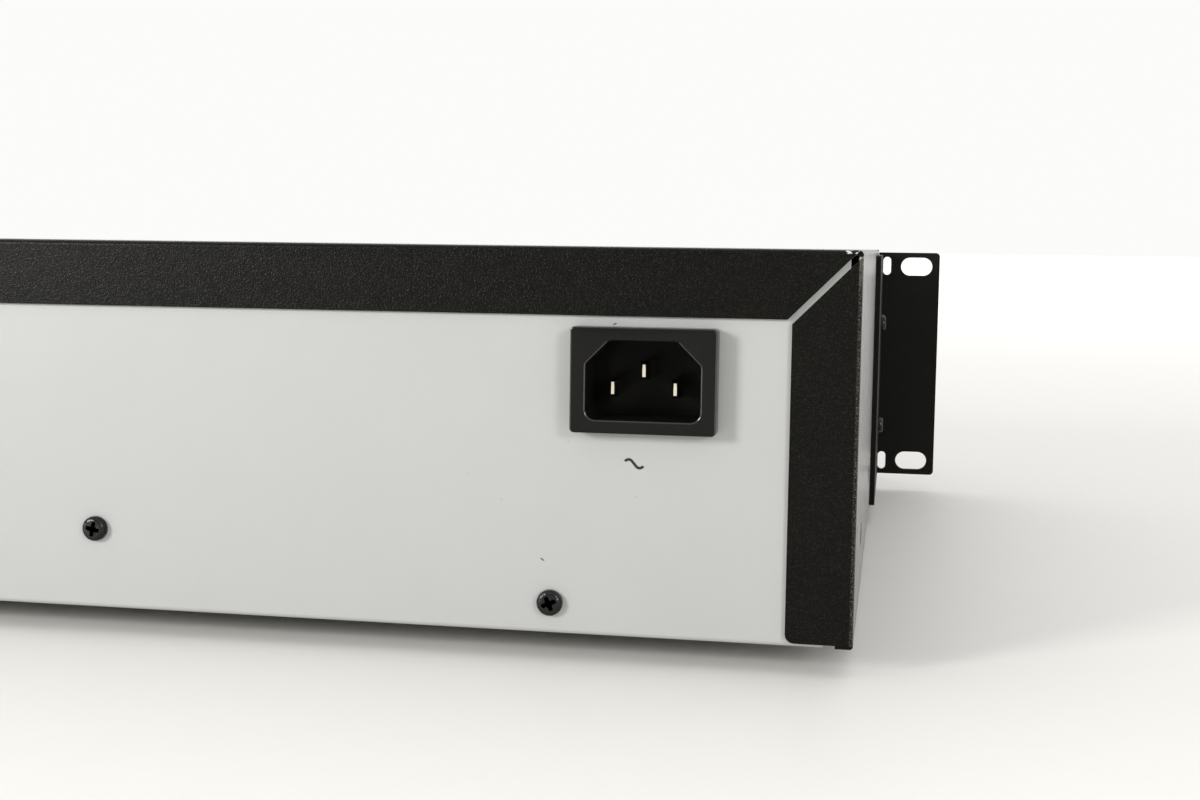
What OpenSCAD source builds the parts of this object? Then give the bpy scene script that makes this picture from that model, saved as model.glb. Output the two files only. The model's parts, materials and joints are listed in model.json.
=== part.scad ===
// Rack-mounting disc recorder: steel case with rack ears, disc loader, boards, rear sockets and controls.
// Millimetres. X runs across the width, the front faces -Y, the rear panel +Y, and the feet stand on Z = 0.

/* [Case] */
// Width across the sides of the cover
body_w = 436; // [420:1:440]
// Height from the underside of the case to the top of the cover
body_h = 88; // [86:0.5:100]
// Depth from the rear panel to the back of the rack ears
body_d = 289; // [280:1:340]
// Thickness of the cover's sheet
cover_t = 1; // [0.8:0.1:1.2]
// Thickness of the rear panel's sheet
panel_t = 1.2; // [1:0.1:1.6]
// Thickness of the chassis sheet
chassis_t = 1.2; // [1:0.1:1.6]
// Outer radius of the bends in the sheet
bend_r = 1.2; // [1.1:0.1:2.4]
// Height of the cover's flange across the top of the rear panel
top_flange = 15.3; // [12:0.1:18]
// Width of the cover's flange down each side of the rear panel
side_flange = 15; // [12:0.1:18]
// Height of the side flanges' lower ends above the underside
flange_lift = 1; // [0.5:0.1:3]
// Corner radius at the lower end of a side flange
flange_r = 2; // [1:0.1:4]
// Width of the slit between the rear flanges at each corner
slit_w = 1.4; // [1:0.1:2.4]
// Distance of the slit's blind end from the corner's two edges
slit_end = 3.3; // [2.6:0.1:6]
// Width of the hem turned in under each side of the cover
hem_w = 4; // [3:0.1:5]
// Distance from the end of a hem to the rear flange
hem_end = 3; // [1:0.5:10]
// Distance from the cover's side to the edge of the rear panel
panel_inset = 6.7; // [6:0.1:8]
// Extra width on each side of the rear panel above its foot
panel_wing = 4; // [3:0.1:5]
// Height at which the rear panel gets wider
panel_step = 5; // [2:0.5:12]
// Depth of the flange turned in under the rear panel
panel_foot = 14; // [10:1:20]
// Height of the chassis side walls
side_h = 26; // [20:1:40]
// Height of the chassis posts behind the front panel
post_h = 74; // [70:1:80]
// Depth of the chassis posts behind the front panel
post_d = 40; // [36:1:60]
// Height of the chassis wall behind the front panel
wall_h = 84; // [80:0.5:84]
// Height of the chassis lip behind the rear panel
lip_h = 26; // [24:1:30]
// Length and width of a cooling slot in the floor
vent = [34, 3];
// Cooling slots in the floor
vents = 10; // [4:1:12]
// Spacing of the cooling slots
vent_pitch = 9; // [6:0.5:12]

/* [Feet and screws] */
// Height of the feet below the case
foot_h = 6.5; // [5:0.5:12]
// Diameter of a foot
foot_d = 26; // [20:1:32]
// Distance of the feet from the sides of the case
foot_in_x = 44; // [30:1:80]
// Distance of the feet from the ends of the case
foot_in_y = 50; // [24:1:60]
// Diameter of the screws' threads
screw_d = 3; // [2.5:0.1:4]
// Diameter of the screws' heads
head_d = 6; // [5:0.1:7]
// Height of the screws' heads
head_h = 1.9; // [1.4:0.1:2.6]
// Radius round the top of a screw head
head_round = 1.1; // [0.5:0.1:1.3]
// Length of the cross recess
recess_l = 3.4; // [2.4:0.1:4]
// Width of the recess's arms
recess_w = 1; // [0.5:0.1:1.2]
// Depth of the recess
recess_d = 1.2; // [0.8:0.1:1.3]
// Length of the screws below the head
screw_l = 7; // [6:0.5:10]
// Distance of the cover's side screws from the rear panel
cover_screw_d = [58, 168];
// Height of the cover's side screws
cover_screw_z = 16; // [12:0.5:20]
// Distance of the ear screws behind the back of the ears
ear_screw_d = 34; // [20:1:36]
// Heights of the ear screws
ear_screw_z = [23, 61];
// Places of the screws in the rear panel, across and up
rear_screw = [[-149.6, 7.2], [-38.3, 19.3], [60, 7.2], [149.6, 7.2], [170, 27.4], [118, 27.4]];

/* [Rack ears] */
// Width across the rack ears
rack_w = 482.6; // [482.6:0.1:484]
// Spacing of the rack slots across the rack
rack_pitch_x = 465.1; // [464:0.1:466]
// Spacing of the rack slots up the rack
rack_pitch_z = 76.2; // [70:0.1:77]
// Length of a rack slot
rack_slot_l = 12; // [9:0.1:13]
// Height of a rack slot
rack_slot_h = 7; // [6:0.1:8]
// Height of the ears
ear_h = 87; // [86:0.5:88]
// Thickness of the ears' plate
ear_t = 2; // [1.5:0.1:3]
// Depth of the ears' flange along the case
ear_flange = 84; // [60:1:110]
// Thickness of the ears' flange
ear_flange_t = 1.7; // [1.2:0.1:2]
// Corner radius of the ears
ear_r = 1.5; // [0.5:0.1:3]
// Width and height of the relief slots beside the ears' bend
relief = [3, 7];
// Distance of the relief slots from the ends of the ears
relief_in = 5.2; // [4.5:0.1:8]

/* [Power inlet] */
// Place of the inlet across the rear panel
inlet_x = -170.8; // [-175:0.1:-160]
// Height of the inlet above the underside
inlet_z = 58.6; // [50:0.1:58.6]
// Width of the inlet's flange
inlet_w = 32.7; // [32:0.1:36]
// Height of the inlet's flange
inlet_h = 23.6; // [23:0.1:26]
// Height of the inlet's flange off the panel
inlet_proud = 4.5; // [3:0.1:6]
// Width of the inlet's socket
socket_w = 25.6; // [25:0.1:26]
// Height of the inlet's socket
socket_h = 17.6; // [17:0.1:18]
// Depth of the inlet's socket
socket_d = 16; // [14:0.1:18]
// Size of the slanted upper corners of the socket
socket_slant = 5.3; // [4:0.1:6]
// Radius of the lower corners of the socket
socket_r = 2.2; // [1:0.1:3]
// Wall of the inlet behind the panel
inlet_wall = 1.4; // [1:0.1:1.6]
// Floor of the inlet behind the socket
inlet_floor = 4; // [3:0.1:6]
// Thickness of an inlet pin across the socket
pin_t = 2; // [2:0.1:2.2]
// Chamfer round a pin's tip
pin_chamfer = 0.65; // [0.3:0.05:0.9]
// Height of an inlet pin
pin_h = 4; // [3.8:0.1:4.2]
// Distance between the two outer pins
pin_pitch = 14; // [14:0.1:14.4]
// Height of the earth pin above the outer pins
earth_rise = 4; // [3.8:0.1:4.2]
// Drop of the outer pins below the middle of the inlet
pin_drop = 1.8; // [1.4:0.1:2]
// Depth of the pins' ends inside the socket
pin_set = 2; // [1:0.1:4]
// Length of the pins' tabs behind the inlet
pin_tab = 7; // [5:0.5:10]

/* [Rear jacks] */
// Places of the pairs of analogue jacks across the rear panel
analog_x = [158, 182];
// Place of the pair of digital jacks across the rear panel
coax_x = 130; // [124:1:136]
// Place of the optical sockets across the rear panel
optical_x = 98; // [90:1:106]
// Height of the lower jacks above the main board
jack_low = 8; // [7:0.5:9]
// Spacing of the jacks in a pair
jack_pitch = 15; // [14:0.5:17]
// Width of a jack block
jack_block_w = 14; // [13:0.5:16]
// Depth of a jack block
jack_block_d = 13; // [10:0.5:16]
// Diameter of a jack's collar
collar_d = 10.6; // [10:0.1:11.6]
// Height of a jack's collar off the panel
collar_h = 1.6; // [1:0.1:3]
// Diameter of a jack's sleeve
sleeve_d = 8.3; // [8.2:0.1:8.6]
// Wall of a jack's sleeve
sleeve_t = 0.5; // [0.4:0.1:0.8]
// Reach of the jacks behind the rear panel
jack_reach = 9; // [8:0.1:12]
// Diameter of a jack's centre hole
jack_hole_d = 3.4; // [3.2:0.1:3.8]
// Side of an optical socket's face
optical_w = 12; // [11:0.1:12.4]
// Side of an optical socket's opening
optical_hole = 8.2; // [8:0.1:8.8]
// Depth of an optical socket's opening
optical_d = 9; // [8:0.1:12]
// Spacing of the optical sockets
optical_pitch = 16; // [14.5:0.5:18]

/* [Front panel] */
// Distance from the chassis wall to the back of the rack ears
ear_inset = 10; // [8:0.5:12]
// Depth of the front panel
front_d = 16; // [15:0.5:18]
// Thickness of the front panel's face
face_t = 3; // [2:0.1:3.4]
// Thickness of the front panel's rim
rim_t = 2.4; // [2:0.1:3]
// Radius of the front panel's upright corners
front_r = 3; // [1:0.1:4]
// Middle of the disc tray and the display across the front
tray_x = -76; // [-80:1:-74]
// Width of the tray's front
tray_front_w = 138; // [136:0.5:142]
// Height of the tray's front
tray_front_h = 18; // [16:0.5:19]
// Thickness of the tray's front
tray_front_t = 5; // [4:0.1:6]
// Height of the middle of the tray's front
tray_front_z = 60; // [59.5:0.1:60.5]
// Width of the display window
window_w = 140; // [120:1:142]
// Height of the display window
window_h = 26; // [20:0.5:28]
// Height of the middle of the display window
window_z = 29; // [26:0.5:30]
// Lip of the display window behind the face
window_lip = 3; // [2:0.1:3]
// Thickness of the display window's lip
window_lip_t = 1.5; // [1:0.1:1.8]
// Thickness of the display module
display_t = 4.5; // [3:0.1:4.8]
// Gap between the chassis wall and the front board
board_gap = 4.5; // [4:0.1:5]
// Thickness of the circuit boards
pcb_t = 1.6; // [1.2:0.1:2]
// Radius of the front panel's board posts
boss_r = 3.5; // [3:0.1:4]

/* [Keys and knobs] */
// Gap round pieces that move in the front panel
key_gap = 0.35; // [0.3:0.05:0.5]
// Height of the keys off the front panel
key_proud = 2.2; // [1.5:0.1:3]
// Travel of the keys
key_travel = 0.8; // [0.5:0.1:1.2]
// Travel of the power button
power_travel = 3; // [2:0.1:3.2]
// Width of the flange that holds a key behind the face
key_flange = 1; // [0.8:0.1:1.2]
// Thickness of the flange that holds a key behind the face
key_flange_t = 1.5; // [1:0.1:1.6]
// Corner radius of the keys
key_r = 1.2; // [0.5:0.1:2]
// Size of a transport key
transport_key = [27, 15];
// Place of the first transport key across and up
transport_at = [37, 20];
// Spacing of the transport keys
transport_pitch = 31; // [30:0.5:31]
// Size of a function key
function_key = [17, 8];
// Place of the first function key across and up
function_at = [20, 60];
// Spacing of the function keys
function_pitch = 24; // [21:0.5:24]
// Size of the power button
power_key = [20, 11];
// Place of the power button across and up
power_at = [-192, 64];
// Place of the phones socket across and up
phones_at = [-196, 20];
// Diameter of the phones socket's bore
phones_d = 6.5; // [6.4:0.05:6.6]
// Diameter of the phones socket's bush
phones_bush_d = 10; // [9:0.1:11]
// Diameter of the phones socket's nut
phones_nut_d = 14; // [12:0.5:16]
// Thickness of the phones socket's nut
phones_nut_t = 2; // [1.5:0.1:3]
// Side of the phones socket's body
phones_body = 14; // [12:0.5:15]
// Length of the phones socket behind the face
phones_l = 28; // [24:1:34]
// Place of the phones knob across and up
phones_knob_at = [-170, 20];
// Diameter of the phones knob
phones_knob_d = 15; // [12:0.5:16]
// Place of the jog dial across and up
jog_at = [140, 58];
// Diameter of the jog dial
jog_d = 40; // [34:0.5:42]
// Reach of the jog dial off the face
jog_reach = 12; // [8:0.5:13]
// Diameter of the jog dial's finger dimple
jog_dimple_d = 11; // [8:0.5:12]
// Place of the level knobs across and up
level_at = [190, 58];
// Diameter of the outer level knob
level_outer_d = 34; // [28:0.5:36]
// Diameter of the inner level knob
level_inner_d = 23; // [18:0.5:26]
// Reach of the outer level knob off the face
level_outer_reach = 7; // [5:0.5:8]
// Reach of the inner level knob off the face
knob_reach = 14; // [12:0.5:18]
// Gap between a knob and what lies behind it
knob_gap = 0.5; // [0.3:0.05:0.8]
// Diameter of the knobs' shafts
shaft_d = 6; // [5:0.1:6.4]
// Diameter of the outer level knob's hollow shaft
level_shaft_d = 9; // [8:0.1:10]
// Grip flutes round a level knob
flutes = 24; // [12:1:36]
// Radius of a grip flute
flute_r = 0.9; // [0.5:0.1:1.2]

/* [Disc loader] */
// Diameter of the disc that the tray takes
disc_d = 120; // [119:0.5:120]
// Distance from the front panel's face to the middle of the disc
disc_back = 75; // [75:0.5:80]
// Width of the tray
tray_w = 130; // [128:0.5:132]
// Length of the tray behind its front
tray_l = 195; // [190:1:205]
// Thickness of the tray's deck
deck_t = 4.5; // [4:0.1:5]
// Height of the top of the tray's deck
deck_z = 60.5; // [60:0.1:61]
// Depth of the tray's skirts below the deck
skirt_h = 4; // [3.5:0.1:4.2]
// Thickness of the tray's skirts
skirt_t = 2; // [1.5:0.1:2.5]
// Depth of the disc well in the deck
well_depth = 2; // [1.5:0.1:2.4]
// Spare room round a disc in its well
well_room = 1.5; // [1:0.1:2]
// Diameter of the small disc's well
small_well_d = 81; // [80:0.5:84]
// Depth of the small disc's well below the large one
small_well_depth = 0.8; // [0.5:0.1:1]
// Width of the tray's slot over the turntable
tray_slot_w = 44; // [40:0.5:46]
// Height of the loader's base above the underside
base_z = 35; // [34:0.5:36]
// Thickness of the loader's base
base_t = 3; // [2:0.1:3]
// Wall of the loader's frame
loader_wall = 3; // [2:0.1:4]
// Height of the loader's top plate
bridge_z = 66; // [65.5:0.5:70]
// Thickness of the loader's top plate
bridge_t = 1.2; // [1:0.1:2]
// Width of the ledges that carry the tray
ledge_w = 4; // [3.5:0.1:5]
// Thickness of the ledges that carry the tray
ledge_t = 3; // [2:0.1:4]
// Gap round pieces that slide in the loader
slide_gap = 0.35; // [0.3:0.05:0.4]
// Gap between a shaft and its bearing
bearing_gap = 0.08; // [0.05:0.01:0.1]
// Diameter of the legs under the loader
leg_d = 10; // [8:0.5:12]
// Diameter of the clamper's neck
clamper_d = 25; // [22:0.5:28]
// Diameter of the clamper's flange
clamper_flange_d = 34; // [32:0.5:40]
// Diameter of the turntable
turntable_d = 30; // [28:0.5:31]
// Diameter of the turntable's hub
hub_d = 14.8; // [14.6:0.1:14.9]
// Height of the top of the spindle motor
spindle_z = 51; // [50.5:0.1:51.2]
// Diameter of the spindle motor
spindle_d = 24; // [20:0.5:24]
// Half width of the traverse frame
traverse_hw = 36; // [35:0.5:38]
// Height of the underside of the traverse frame
traverse_z = 42; // [41:0.1:42]
// Thickness of the traverse frame
traverse_t = 3; // [2:0.1:3]
// Distance from the disc's middle to the traverse pivot
pivot_back = 95; // [93:0.5:100]
// Diameter of the traverse pivot pins
pivot_d = 4; // [3:0.1:4]
// Distance of the sled's lens from the disc's middle at rest
lens_in = 25; // [24.5:0.1:26]
// Travel of the sled
sled_travel = 34; // [30:0.5:34]
// Diameter of the sled's rails
rail_d = 3; // [2.5:0.1:3]
// Distance of the sled's rails from its middle
rail_x = 22; // [21:0.5:23]
// Distance of the sled's screw from its middle
screw_x = 30; // [29.5:0.1:30.5]
// Height of the sled's rails and screw
rail_z = 47.4; // [47.2:0.1:47.6]

/* [Loading gears] */
// Gear module
gear_m = 1; // [0.9:0.05:1.05]
// Teeth on the gear that drives the tray
tray_teeth = 24; // [24:1:24]
// Teeth on the pulley's gear
pulley_teeth = 12; // [12:1:12]
// Teeth on the tray's rack
rack_teeth = 49; // [47:1:50]
// Distance from the tray's middle to the rack's pitch line
rack_x = 42; // [41:0.5:43]
// Distance from the disc's middle forward to the gears
gear_fore = 38; // [37.5:0.1:39]
// Slope of the gear teeth's flanks
flank = 20; // [18:0.5:24]
// Share of the pitch that a tooth fills at the pitch line
tooth_fill = 0.4; // [0.36:0.01:0.42]
// Height of a tooth above the pitch line, in modules
addendum = 0.9; // [0.8:0.05:0.95]
// Depth of a tooth below the pitch line, in modules
dedendum = 1.25; // [1.2:0.05:1.3]
// Diameter of the belt's groove on the geared pulley
pulley_d = 27; // [24:0.5:27]
// Diameter of the belt's groove on the motor's pulley
motor_pulley_d = 8; // [7:0.5:10]
// Distance from the geared pulley to the motor
motor_span = 42; // [38:0.5:44]
// Thickness of the belt
belt_t = 1.4; // [1:0.1:1.6]
// Gap between the belt and its pulleys
belt_gap = 0.1; // [0.05:0.05:0.2]
// Diameter of the loading motor
motor_d = 21; // [18:0.5:24]
// Length of the loading motor
motor_l = 20; // [16:0.5:24]

/* [Boards] */
// Height of the posts under the boards
stand_h = 8; // [6:0.5:9]
// Width of the main board
main_w = 196; // [190:1:198]
// Depth of the main board
main_d = 190; // [150:1:200]
// Gap between the boards and the case
board_edge = 8; // [6:0.5:10]
// Width of the power board
power_w = 56; // [50:1:57]
// Depth of the power board
power_d = 180; // [150:1:190]
// Size of the transformer's core
transformer = [34, 30, 28];
// Width of the ribbon cable
ribbon_w = 22; // [16:1:30]
// Thickness of the ribbon cable
ribbon_t = 0.8; // [0.6:0.1:1]
// Place of the ribbon cable across the case
ribbon_x = 110; // [80:1:114]

/* [Hidden] */
$fn = 64;
slip = 0.2;
over = 1;
half_w = body_w / 2;
z0 = foot_h;
z_top = foot_h + body_h;
z_sheet = z0 + panel_t;
z_floor = z_sheet + chassis_t;
front_reach = body_d - ear_inset + front_d + knob_reach;
y_rear = (front_reach - jack_reach) / 2;
y_ear = y_rear - body_d;
y_wall = y_ear + ear_inset;
y_face = y_wall - front_d;
y_inner = y_face + face_t;
y_back = y_rear - panel_t;
chassis_hw = half_w - cover_t - slip;
panel_hw = half_w - panel_inset;
front_hw = half_w - slip;
pin_places = [
    for (p = [[-pin_pitch / 2, 0], [0, earth_rise], [pin_pitch / 2, 0]])
        [inlet_x, z0 + inlet_z - pin_drop] + p
];
shank_r = screw_d / 2;
screw_hole_r = shank_r + slip;
board_front = y_wall - board_gap - pcb_t;
key_back = y_inner + key_gap + key_flange_t;

transport_names = ["skip_back", "skip_next", "stop", "pause", "play", "record"];
function_names = ["eject", "menu", "display", "input"];
function transport_place(i) = transport_at + [i * transport_pitch, 0];
function function_place(i) = function_at + [i * function_pitch, 0];

z_main = z_floor + stand_h;
z_main_top = z_main + pcb_t;
main_x = chassis_hw - board_edge - main_w;
y_main = y_back - chassis_t - slip - main_d;
power_x = -chassis_hw + board_edge;
y_power = y_back - board_edge - power_d;
jack_z = [z_main_top + jack_low, z_main_top + jack_low + jack_pitch];
jack_block_h = jack_low + jack_pitch + jack_block_w / 2;
optical_z = z_main_top + optical_w / 2;

disc_y = y_face + disc_back;
z_deck = z0 + deck_z;
z_deck_low = z_deck - deck_t;
z_skirt = z_deck_low - skirt_h;
z_base = z0 + base_z;
z_base_top = z_base + base_t;
z_bridge = z0 + bridge_z;
loader_in = tray_w / 2 + slide_gap;
loader_hw = loader_in + loader_wall;
y_loader = y_wall + chassis_t + slip;
y_tray_end = y_face + tray_front_t + tray_l;
loader_spare = 10;
y_loader_end = y_tray_end + loader_spare;
y_pivot = disc_y + pivot_back;
z_traverse = z0 + traverse_z;
z_traverse_top = z_traverse + traverse_t;
z_pivot = z_traverse + traverse_t / 2;
z_rail = z0 + rail_z;
z_spindle = z0 + spindle_z;
traverse_fore = 20;
sled_stop = 21;
rail_post_in = [12, lens_in + sled_travel + sled_stop];
rail_post_l = 4;
y_rail = disc_y + rail_post_in[0];
y_rail_end = disc_y + rail_post_in[1] + rail_post_l;
window_gap = 2;
lug_t = 6;

y_gear = disc_y - gear_fore;
tooth_pitch = PI * gear_m;
tray_gear_r = gear_m * tray_teeth / 2;
pulley_gear_r = gear_m * pulley_teeth / 2;
tray_gear_x = tray_x - rack_x + tray_gear_r;
pulley_x = tray_gear_x + tray_gear_r + pulley_gear_r;
motor_x = pulley_x + motor_span;
belt_w = 2.4;
pulley_lip = 1.2;
lip_t = 0.8;
pulley_h = belt_w + 2 * lip_t + 2 * slip;
z_pulley = z_base_top + slide_gap;
z_groove = z_pulley + lip_t;
z_pulley_top = z_pulley + pulley_h;
z_tray_gear = z_pulley_top + slide_gap;
gear_post_r = 2;
gear_seat_r = 2.8;

// Shared shapes

// Extrudes an outline drawn in X and Z from y0 to y1
module along_y(y0, y1) {
    translate([0, y1, 0]) rotate([90, 0, 0]) linear_extrude(y1 - y0) children();
}

// Extrudes an outline drawn in Y and Z from x0 to x1
module along_x(x0, x1) {
    translate([x0, 0, 0]) rotate([90, 0, 90]) linear_extrude(x1 - x0) children();
}

// Extrudes an outline drawn in X and Y from zl to zh
module along_z(zl, zh) {
    translate([0, 0, zl]) linear_extrude(zh - zl) children();
}

module box(low, high) {
    translate(low) cube(high - low);
}

module rod_y(x, z, r, y0, y1) {
    along_y(y0, y1) translate([x, z]) circle(r);
}

module rod_x(y, z, r, x0, x1) {
    along_x(x0, x1) translate([y, z]) circle(r);
}

module rod_z(x, y, r, zl, zh) {
    along_z(zl, zh) translate([x, y]) circle(r);
}

// Centred rectangle with round corners
module round_rect(w, h, r) {
    square([w - 2 * r, h], center = true);
    square([w, h - 2 * r], center = true);
    for (sx = [-1, 1], sy = [-1, 1]) translate([sx * (w / 2 - r), sy * (h / 2 - r)]) circle(r);
}

// Centred slot with round ends, along X
module slot(l, h) {
    square([l - h, h], center = true);
    for (s = [-1, 1]) translate([s * (l - h) / 2, 0]) circle(h / 2);
}

// What a radius of r takes off an outer corner at the origin that fills the third quadrant
module corner_waste(r) {
    difference() {
        translate([-r, -r]) square(r + over);
        translate([-r, -r]) circle(r);
    }
}

// What a 45 degree chamfer takes off such a corner
module chamfer_waste(c) {
    polygon([[-c - over, over], [over, over], [over, -c - over]]);
}

// Pan-head screw with a cross recess, its head's seat at the origin and its thread along -Z
module screw() {
    arm = recess_l / 2;
    difference() {
        rotate_extrude() difference() {
            square([head_d / 2, head_h]);
            translate([head_d / 2, head_h]) corner_waste(head_round);
        }
        for (a = [0, 90]) rotate(a) {
            box([-arm, -recess_w / 2, head_h - recess_d], [arm, recess_w / 2, head_h + over]);
        }
    }
    translate([0, 0, -screw_l]) cylinder(r = shank_r, h = screw_l);
}

// Sheet-metal case

// Outline of the cover's top and sides, with round upper corners
module arch(hw, zl, zh, r) {
    translate([-hw, zl]) square([2 * hw, zh - zl - r]);
    translate([r - hw, zl]) square([2 * (hw - r), zh - zl]);
    for (s = [-1, 1]) translate([s * (hw - r), zh - r]) circle(r);
}

// The slits let the rear flanges fold beside each other
module rear_flanges() {
    window_hw = half_w - side_flange;
    window_top = z_top - top_flange;
    slit_run = sqrt(2) * (min(side_flange, top_flange) - slit_end) - slit_w / 2;
    difference() {
        arch(half_w, z0 + flange_lift, z_top, bend_r);
        translate([-window_hw, z0]) square([2 * window_hw, window_top - z0]);
        for (s = [-1, 1]) {
            translate([s * window_hw, z0 + flange_lift]) scale([s, -1]) rotate(90) corner_waste(flange_r);
            translate([s * window_hw, window_top]) rotate(90 - s * 45) union() {
                translate([-2 * slit_w, -slit_w / 2]) square([slit_run + 2 * slit_w, slit_w]);
                translate([slit_run, 0]) circle(slit_w / 2);
            }
        }
    }
}

module side_holes(r) {
    for (s = [-1, 1]) {
        x_in = s * half_w - 3 * over;
        x_out = s * half_w + 3 * over;
        for (d = cover_screw_d) rod_x(y_rear - d, z0 + cover_screw_z, r, x_in, x_out);
        for (z = ear_screw_z) rod_x(y_ear + ear_screw_d, z0 + z, r, x_in, x_out);
    }
}

module top_cover() color("#26261f") {
    y_out = y_rear + cover_t;
    difference() {
        union() {
            along_y(y_wall + slip, y_out) difference() {
                arch(half_w, z0, z_top, bend_r);
                arch(half_w - cover_t, z0 - over, z_top - cover_t, bend_r - cover_t);
            }
            along_y(y_rear, y_out) rear_flanges();
            for (s = [-1, 1]) {
                along_y(y_wall + slip, y_rear - hem_end)
                    translate([s * (half_w - hem_w / 2), z0 + cover_t / 2])
                        square([hem_w, cover_t], center = true);
            }
        }
        along_x(-half_w - over, half_w + over) translate([y_out, z_top]) corner_waste(bend_r);
        for (s = [-1, 1]) {
            along_z(z0 - over, z_top + over)
                translate([s * half_w, y_out]) scale([s, 1]) corner_waste(bend_r);
        }
        side_holes(screw_hole_r);
    }
}

module chassis() color("silver") {
    difference() {
        union() {
            box([-chassis_hw, y_wall, z_sheet], [chassis_hw, y_back, z_floor]);
            for (s = [-1, 1]) {
                x_in = s * (chassis_hw - chassis_t / 2) - chassis_t / 2;
                along_x(x_in, x_in + chassis_t) chassis_side();
            }
            along_y(y_wall, y_wall + chassis_t) chassis_front();
            rear_lip();
            board_posts(main_x, y_main, main_w, main_d);
            board_posts(power_x, y_power, power_w, power_d);
        }
        side_holes(screw_hole_r);
        for (p = rear_screw) rod_y(p[0], z0 + p[1], screw_hole_r, y_back - 3 * chassis_t, y_back + over);
        for (p = foot_places) rod_z(p[0], p[1], screw_hole_r, z0 - over, z_floor + over);
        for (i = [0 : vents - 1]) {
            along_z(z_sheet - over, z_floor + over)
                translate([power_x + power_w / 2, y_power + power_d / 2 + (i - (vents - 1) / 2) * vent_pitch])
                    slot(vent[0], vent[1]);
        }
    }
}

module chassis_side() {
    translate([y_wall, z_sheet]) square([y_back - y_wall - slip, side_h - panel_t]);
    polygon([
        [y_wall, z_sheet], [y_wall, z0 + post_h], [y_wall + post_d, z0 + post_h],
        [y_wall + post_d + post_h - side_h, z0 + side_h], [y_wall + post_d + post_h - side_h, z_sheet]
    ]);
}

module chassis_front() {
    difference() {
        translate([-chassis_hw, z_sheet]) square([2 * chassis_hw, z0 + wall_h - z_sheet]);
        translate([tray_x, z0 + tray_front_z])
            square([tray_front_w + 2 * key_gap, tray_front_h + 2 * key_gap], center = true);
        translate(phones_at + [0, z0]) square(phones_body + 4 * slip, center = true);
        translate([ribbon_x, z_ribbon]) square([ribbon_w + 4 * over, 6 * over], center = true);
    }
}

// The lip is lower beside the jacks, which stand on the main board behind it
lip_split = 40;
lip_low = 10.2;
module rear_lip() {
    lip_hw = panel_hw - bend_r;
    along_y(y_back - chassis_t, y_back) difference() {
        translate([-lip_hw, z_sheet]) square([2 * lip_hw, lip_h]);
        translate([lip_split, z0 + lip_low]) square([lip_hw, lip_h]);
    }
}

module board_posts(x, y, w, d) {
    inset = 6;
    for (px = [x + inset, x + w - inset], py = [y + inset, y + d - inset]) {
        rod_z(px, py, boss_r, z_sheet, z_main);
    }
}

module rear_panel() color("#cfd0cc") {
    difference() {
        union() {
            along_y(y_back, y_rear) rear_face();
            along_z(z0, z_sheet) rear_foot();
        }
        along_x(-half_w, half_w) translate([y_rear, z0]) scale([1, -1]) corner_waste(bend_r);
    }
}

// Behind the cover's slits the face is wider than its foot
module rear_face() {
    panel_h = z_top - cover_t - slip - z0;
    difference() {
        union() {
            translate([-panel_hw, z0]) square([2 * panel_hw, panel_h]);
            translate([-panel_hw - panel_wing, z0 + panel_step])
                square([2 * (panel_hw + panel_wing), panel_h - panel_step]);
        }
        translate([inlet_x, z0 + inlet_z])
            square([for (side = [socket_w, socket_h]) side + 2 * (inlet_wall + slip)], center = true);
        for (x = concat(analog_x, [coax_x]), z = jack_z) translate([x, z]) circle(collar_d / 2 + slip);
        for (i = [0, 1]) {
            translate([optical_x, optical_z + i * optical_pitch]) square(optical_w + 2 * slip, center = true);
        }
        for (p = rear_screw) translate(p + [0, z0]) circle(screw_hole_r);
    }
}

// Flange under the chassis, with cut corners
module rear_foot() {
    cut = 3;
    polygon([
        [-panel_hw, y_rear], [-panel_hw, y_back], [-panel_hw + cut, y_back - cut],
        [-panel_hw + cut, y_rear - panel_foot], [panel_hw - cut, y_rear - panel_foot],
        [panel_hw - cut, y_back - cut], [panel_hw, y_back], [panel_hw, y_rear]
    ]);
}

// Right-hand rack ear: a plate beside the front panel and a flange along the cover
module rack_ear() {
    x_out = rack_w / 2;
    x_flange = half_w + ear_flange_t;
    slot_z = z0 + ear_h / 2;
    difference() {
        union() {
            along_y(y_ear - ear_t, y_ear) difference() {
                translate([half_w, z0]) square([x_out - half_w, ear_h]);
                translate([x_out, z0 + ear_h]) corner_waste(ear_r);
                translate([x_out, z0]) scale([1, -1]) corner_waste(ear_r);
                for (s = [-1, 1]) {
                    translate([rack_pitch_x / 2, slot_z + s * rack_pitch_z / 2])
                        slot(rack_slot_l, rack_slot_h);
                    translate([x_flange + relief[0] / 2, slot_z + s * (ear_h / 2 - relief_in)])
                        rotate(90) slot(relief[1], relief[0]);
                }
            }
            along_x(half_w, x_flange) difference() {
                translate([y_ear - ear_t, z0]) square([ear_flange + ear_t, ear_h - cover_t]);
                translate([y_ear + ear_flange, z0 + ear_h - cover_t]) corner_waste(ear_r);
                translate([y_ear + ear_flange, z0]) scale([1, -1]) corner_waste(ear_r);
            }
        }
        side_holes(screw_hole_r);
        along_z(z0 - over, z_top + over)
            translate([half_w, y_ear - ear_t]) scale([-1, -1]) corner_waste(bend_r);
    }
}

module rack_ear_right() color("#1d1c17") rack_ear();

module rack_ear_left() color("#1d1c17") mirror([1, 0, 0]) rack_ear();

// Feet and screws

foot_places = [for (y = [y_wall + foot_in_y, y_rear - foot_in_y], s = [-1, 1]) [s * (half_w - foot_in_x), y]];
foot_well_r = head_d / 2 + 2;
foot_floor = 3;

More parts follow.
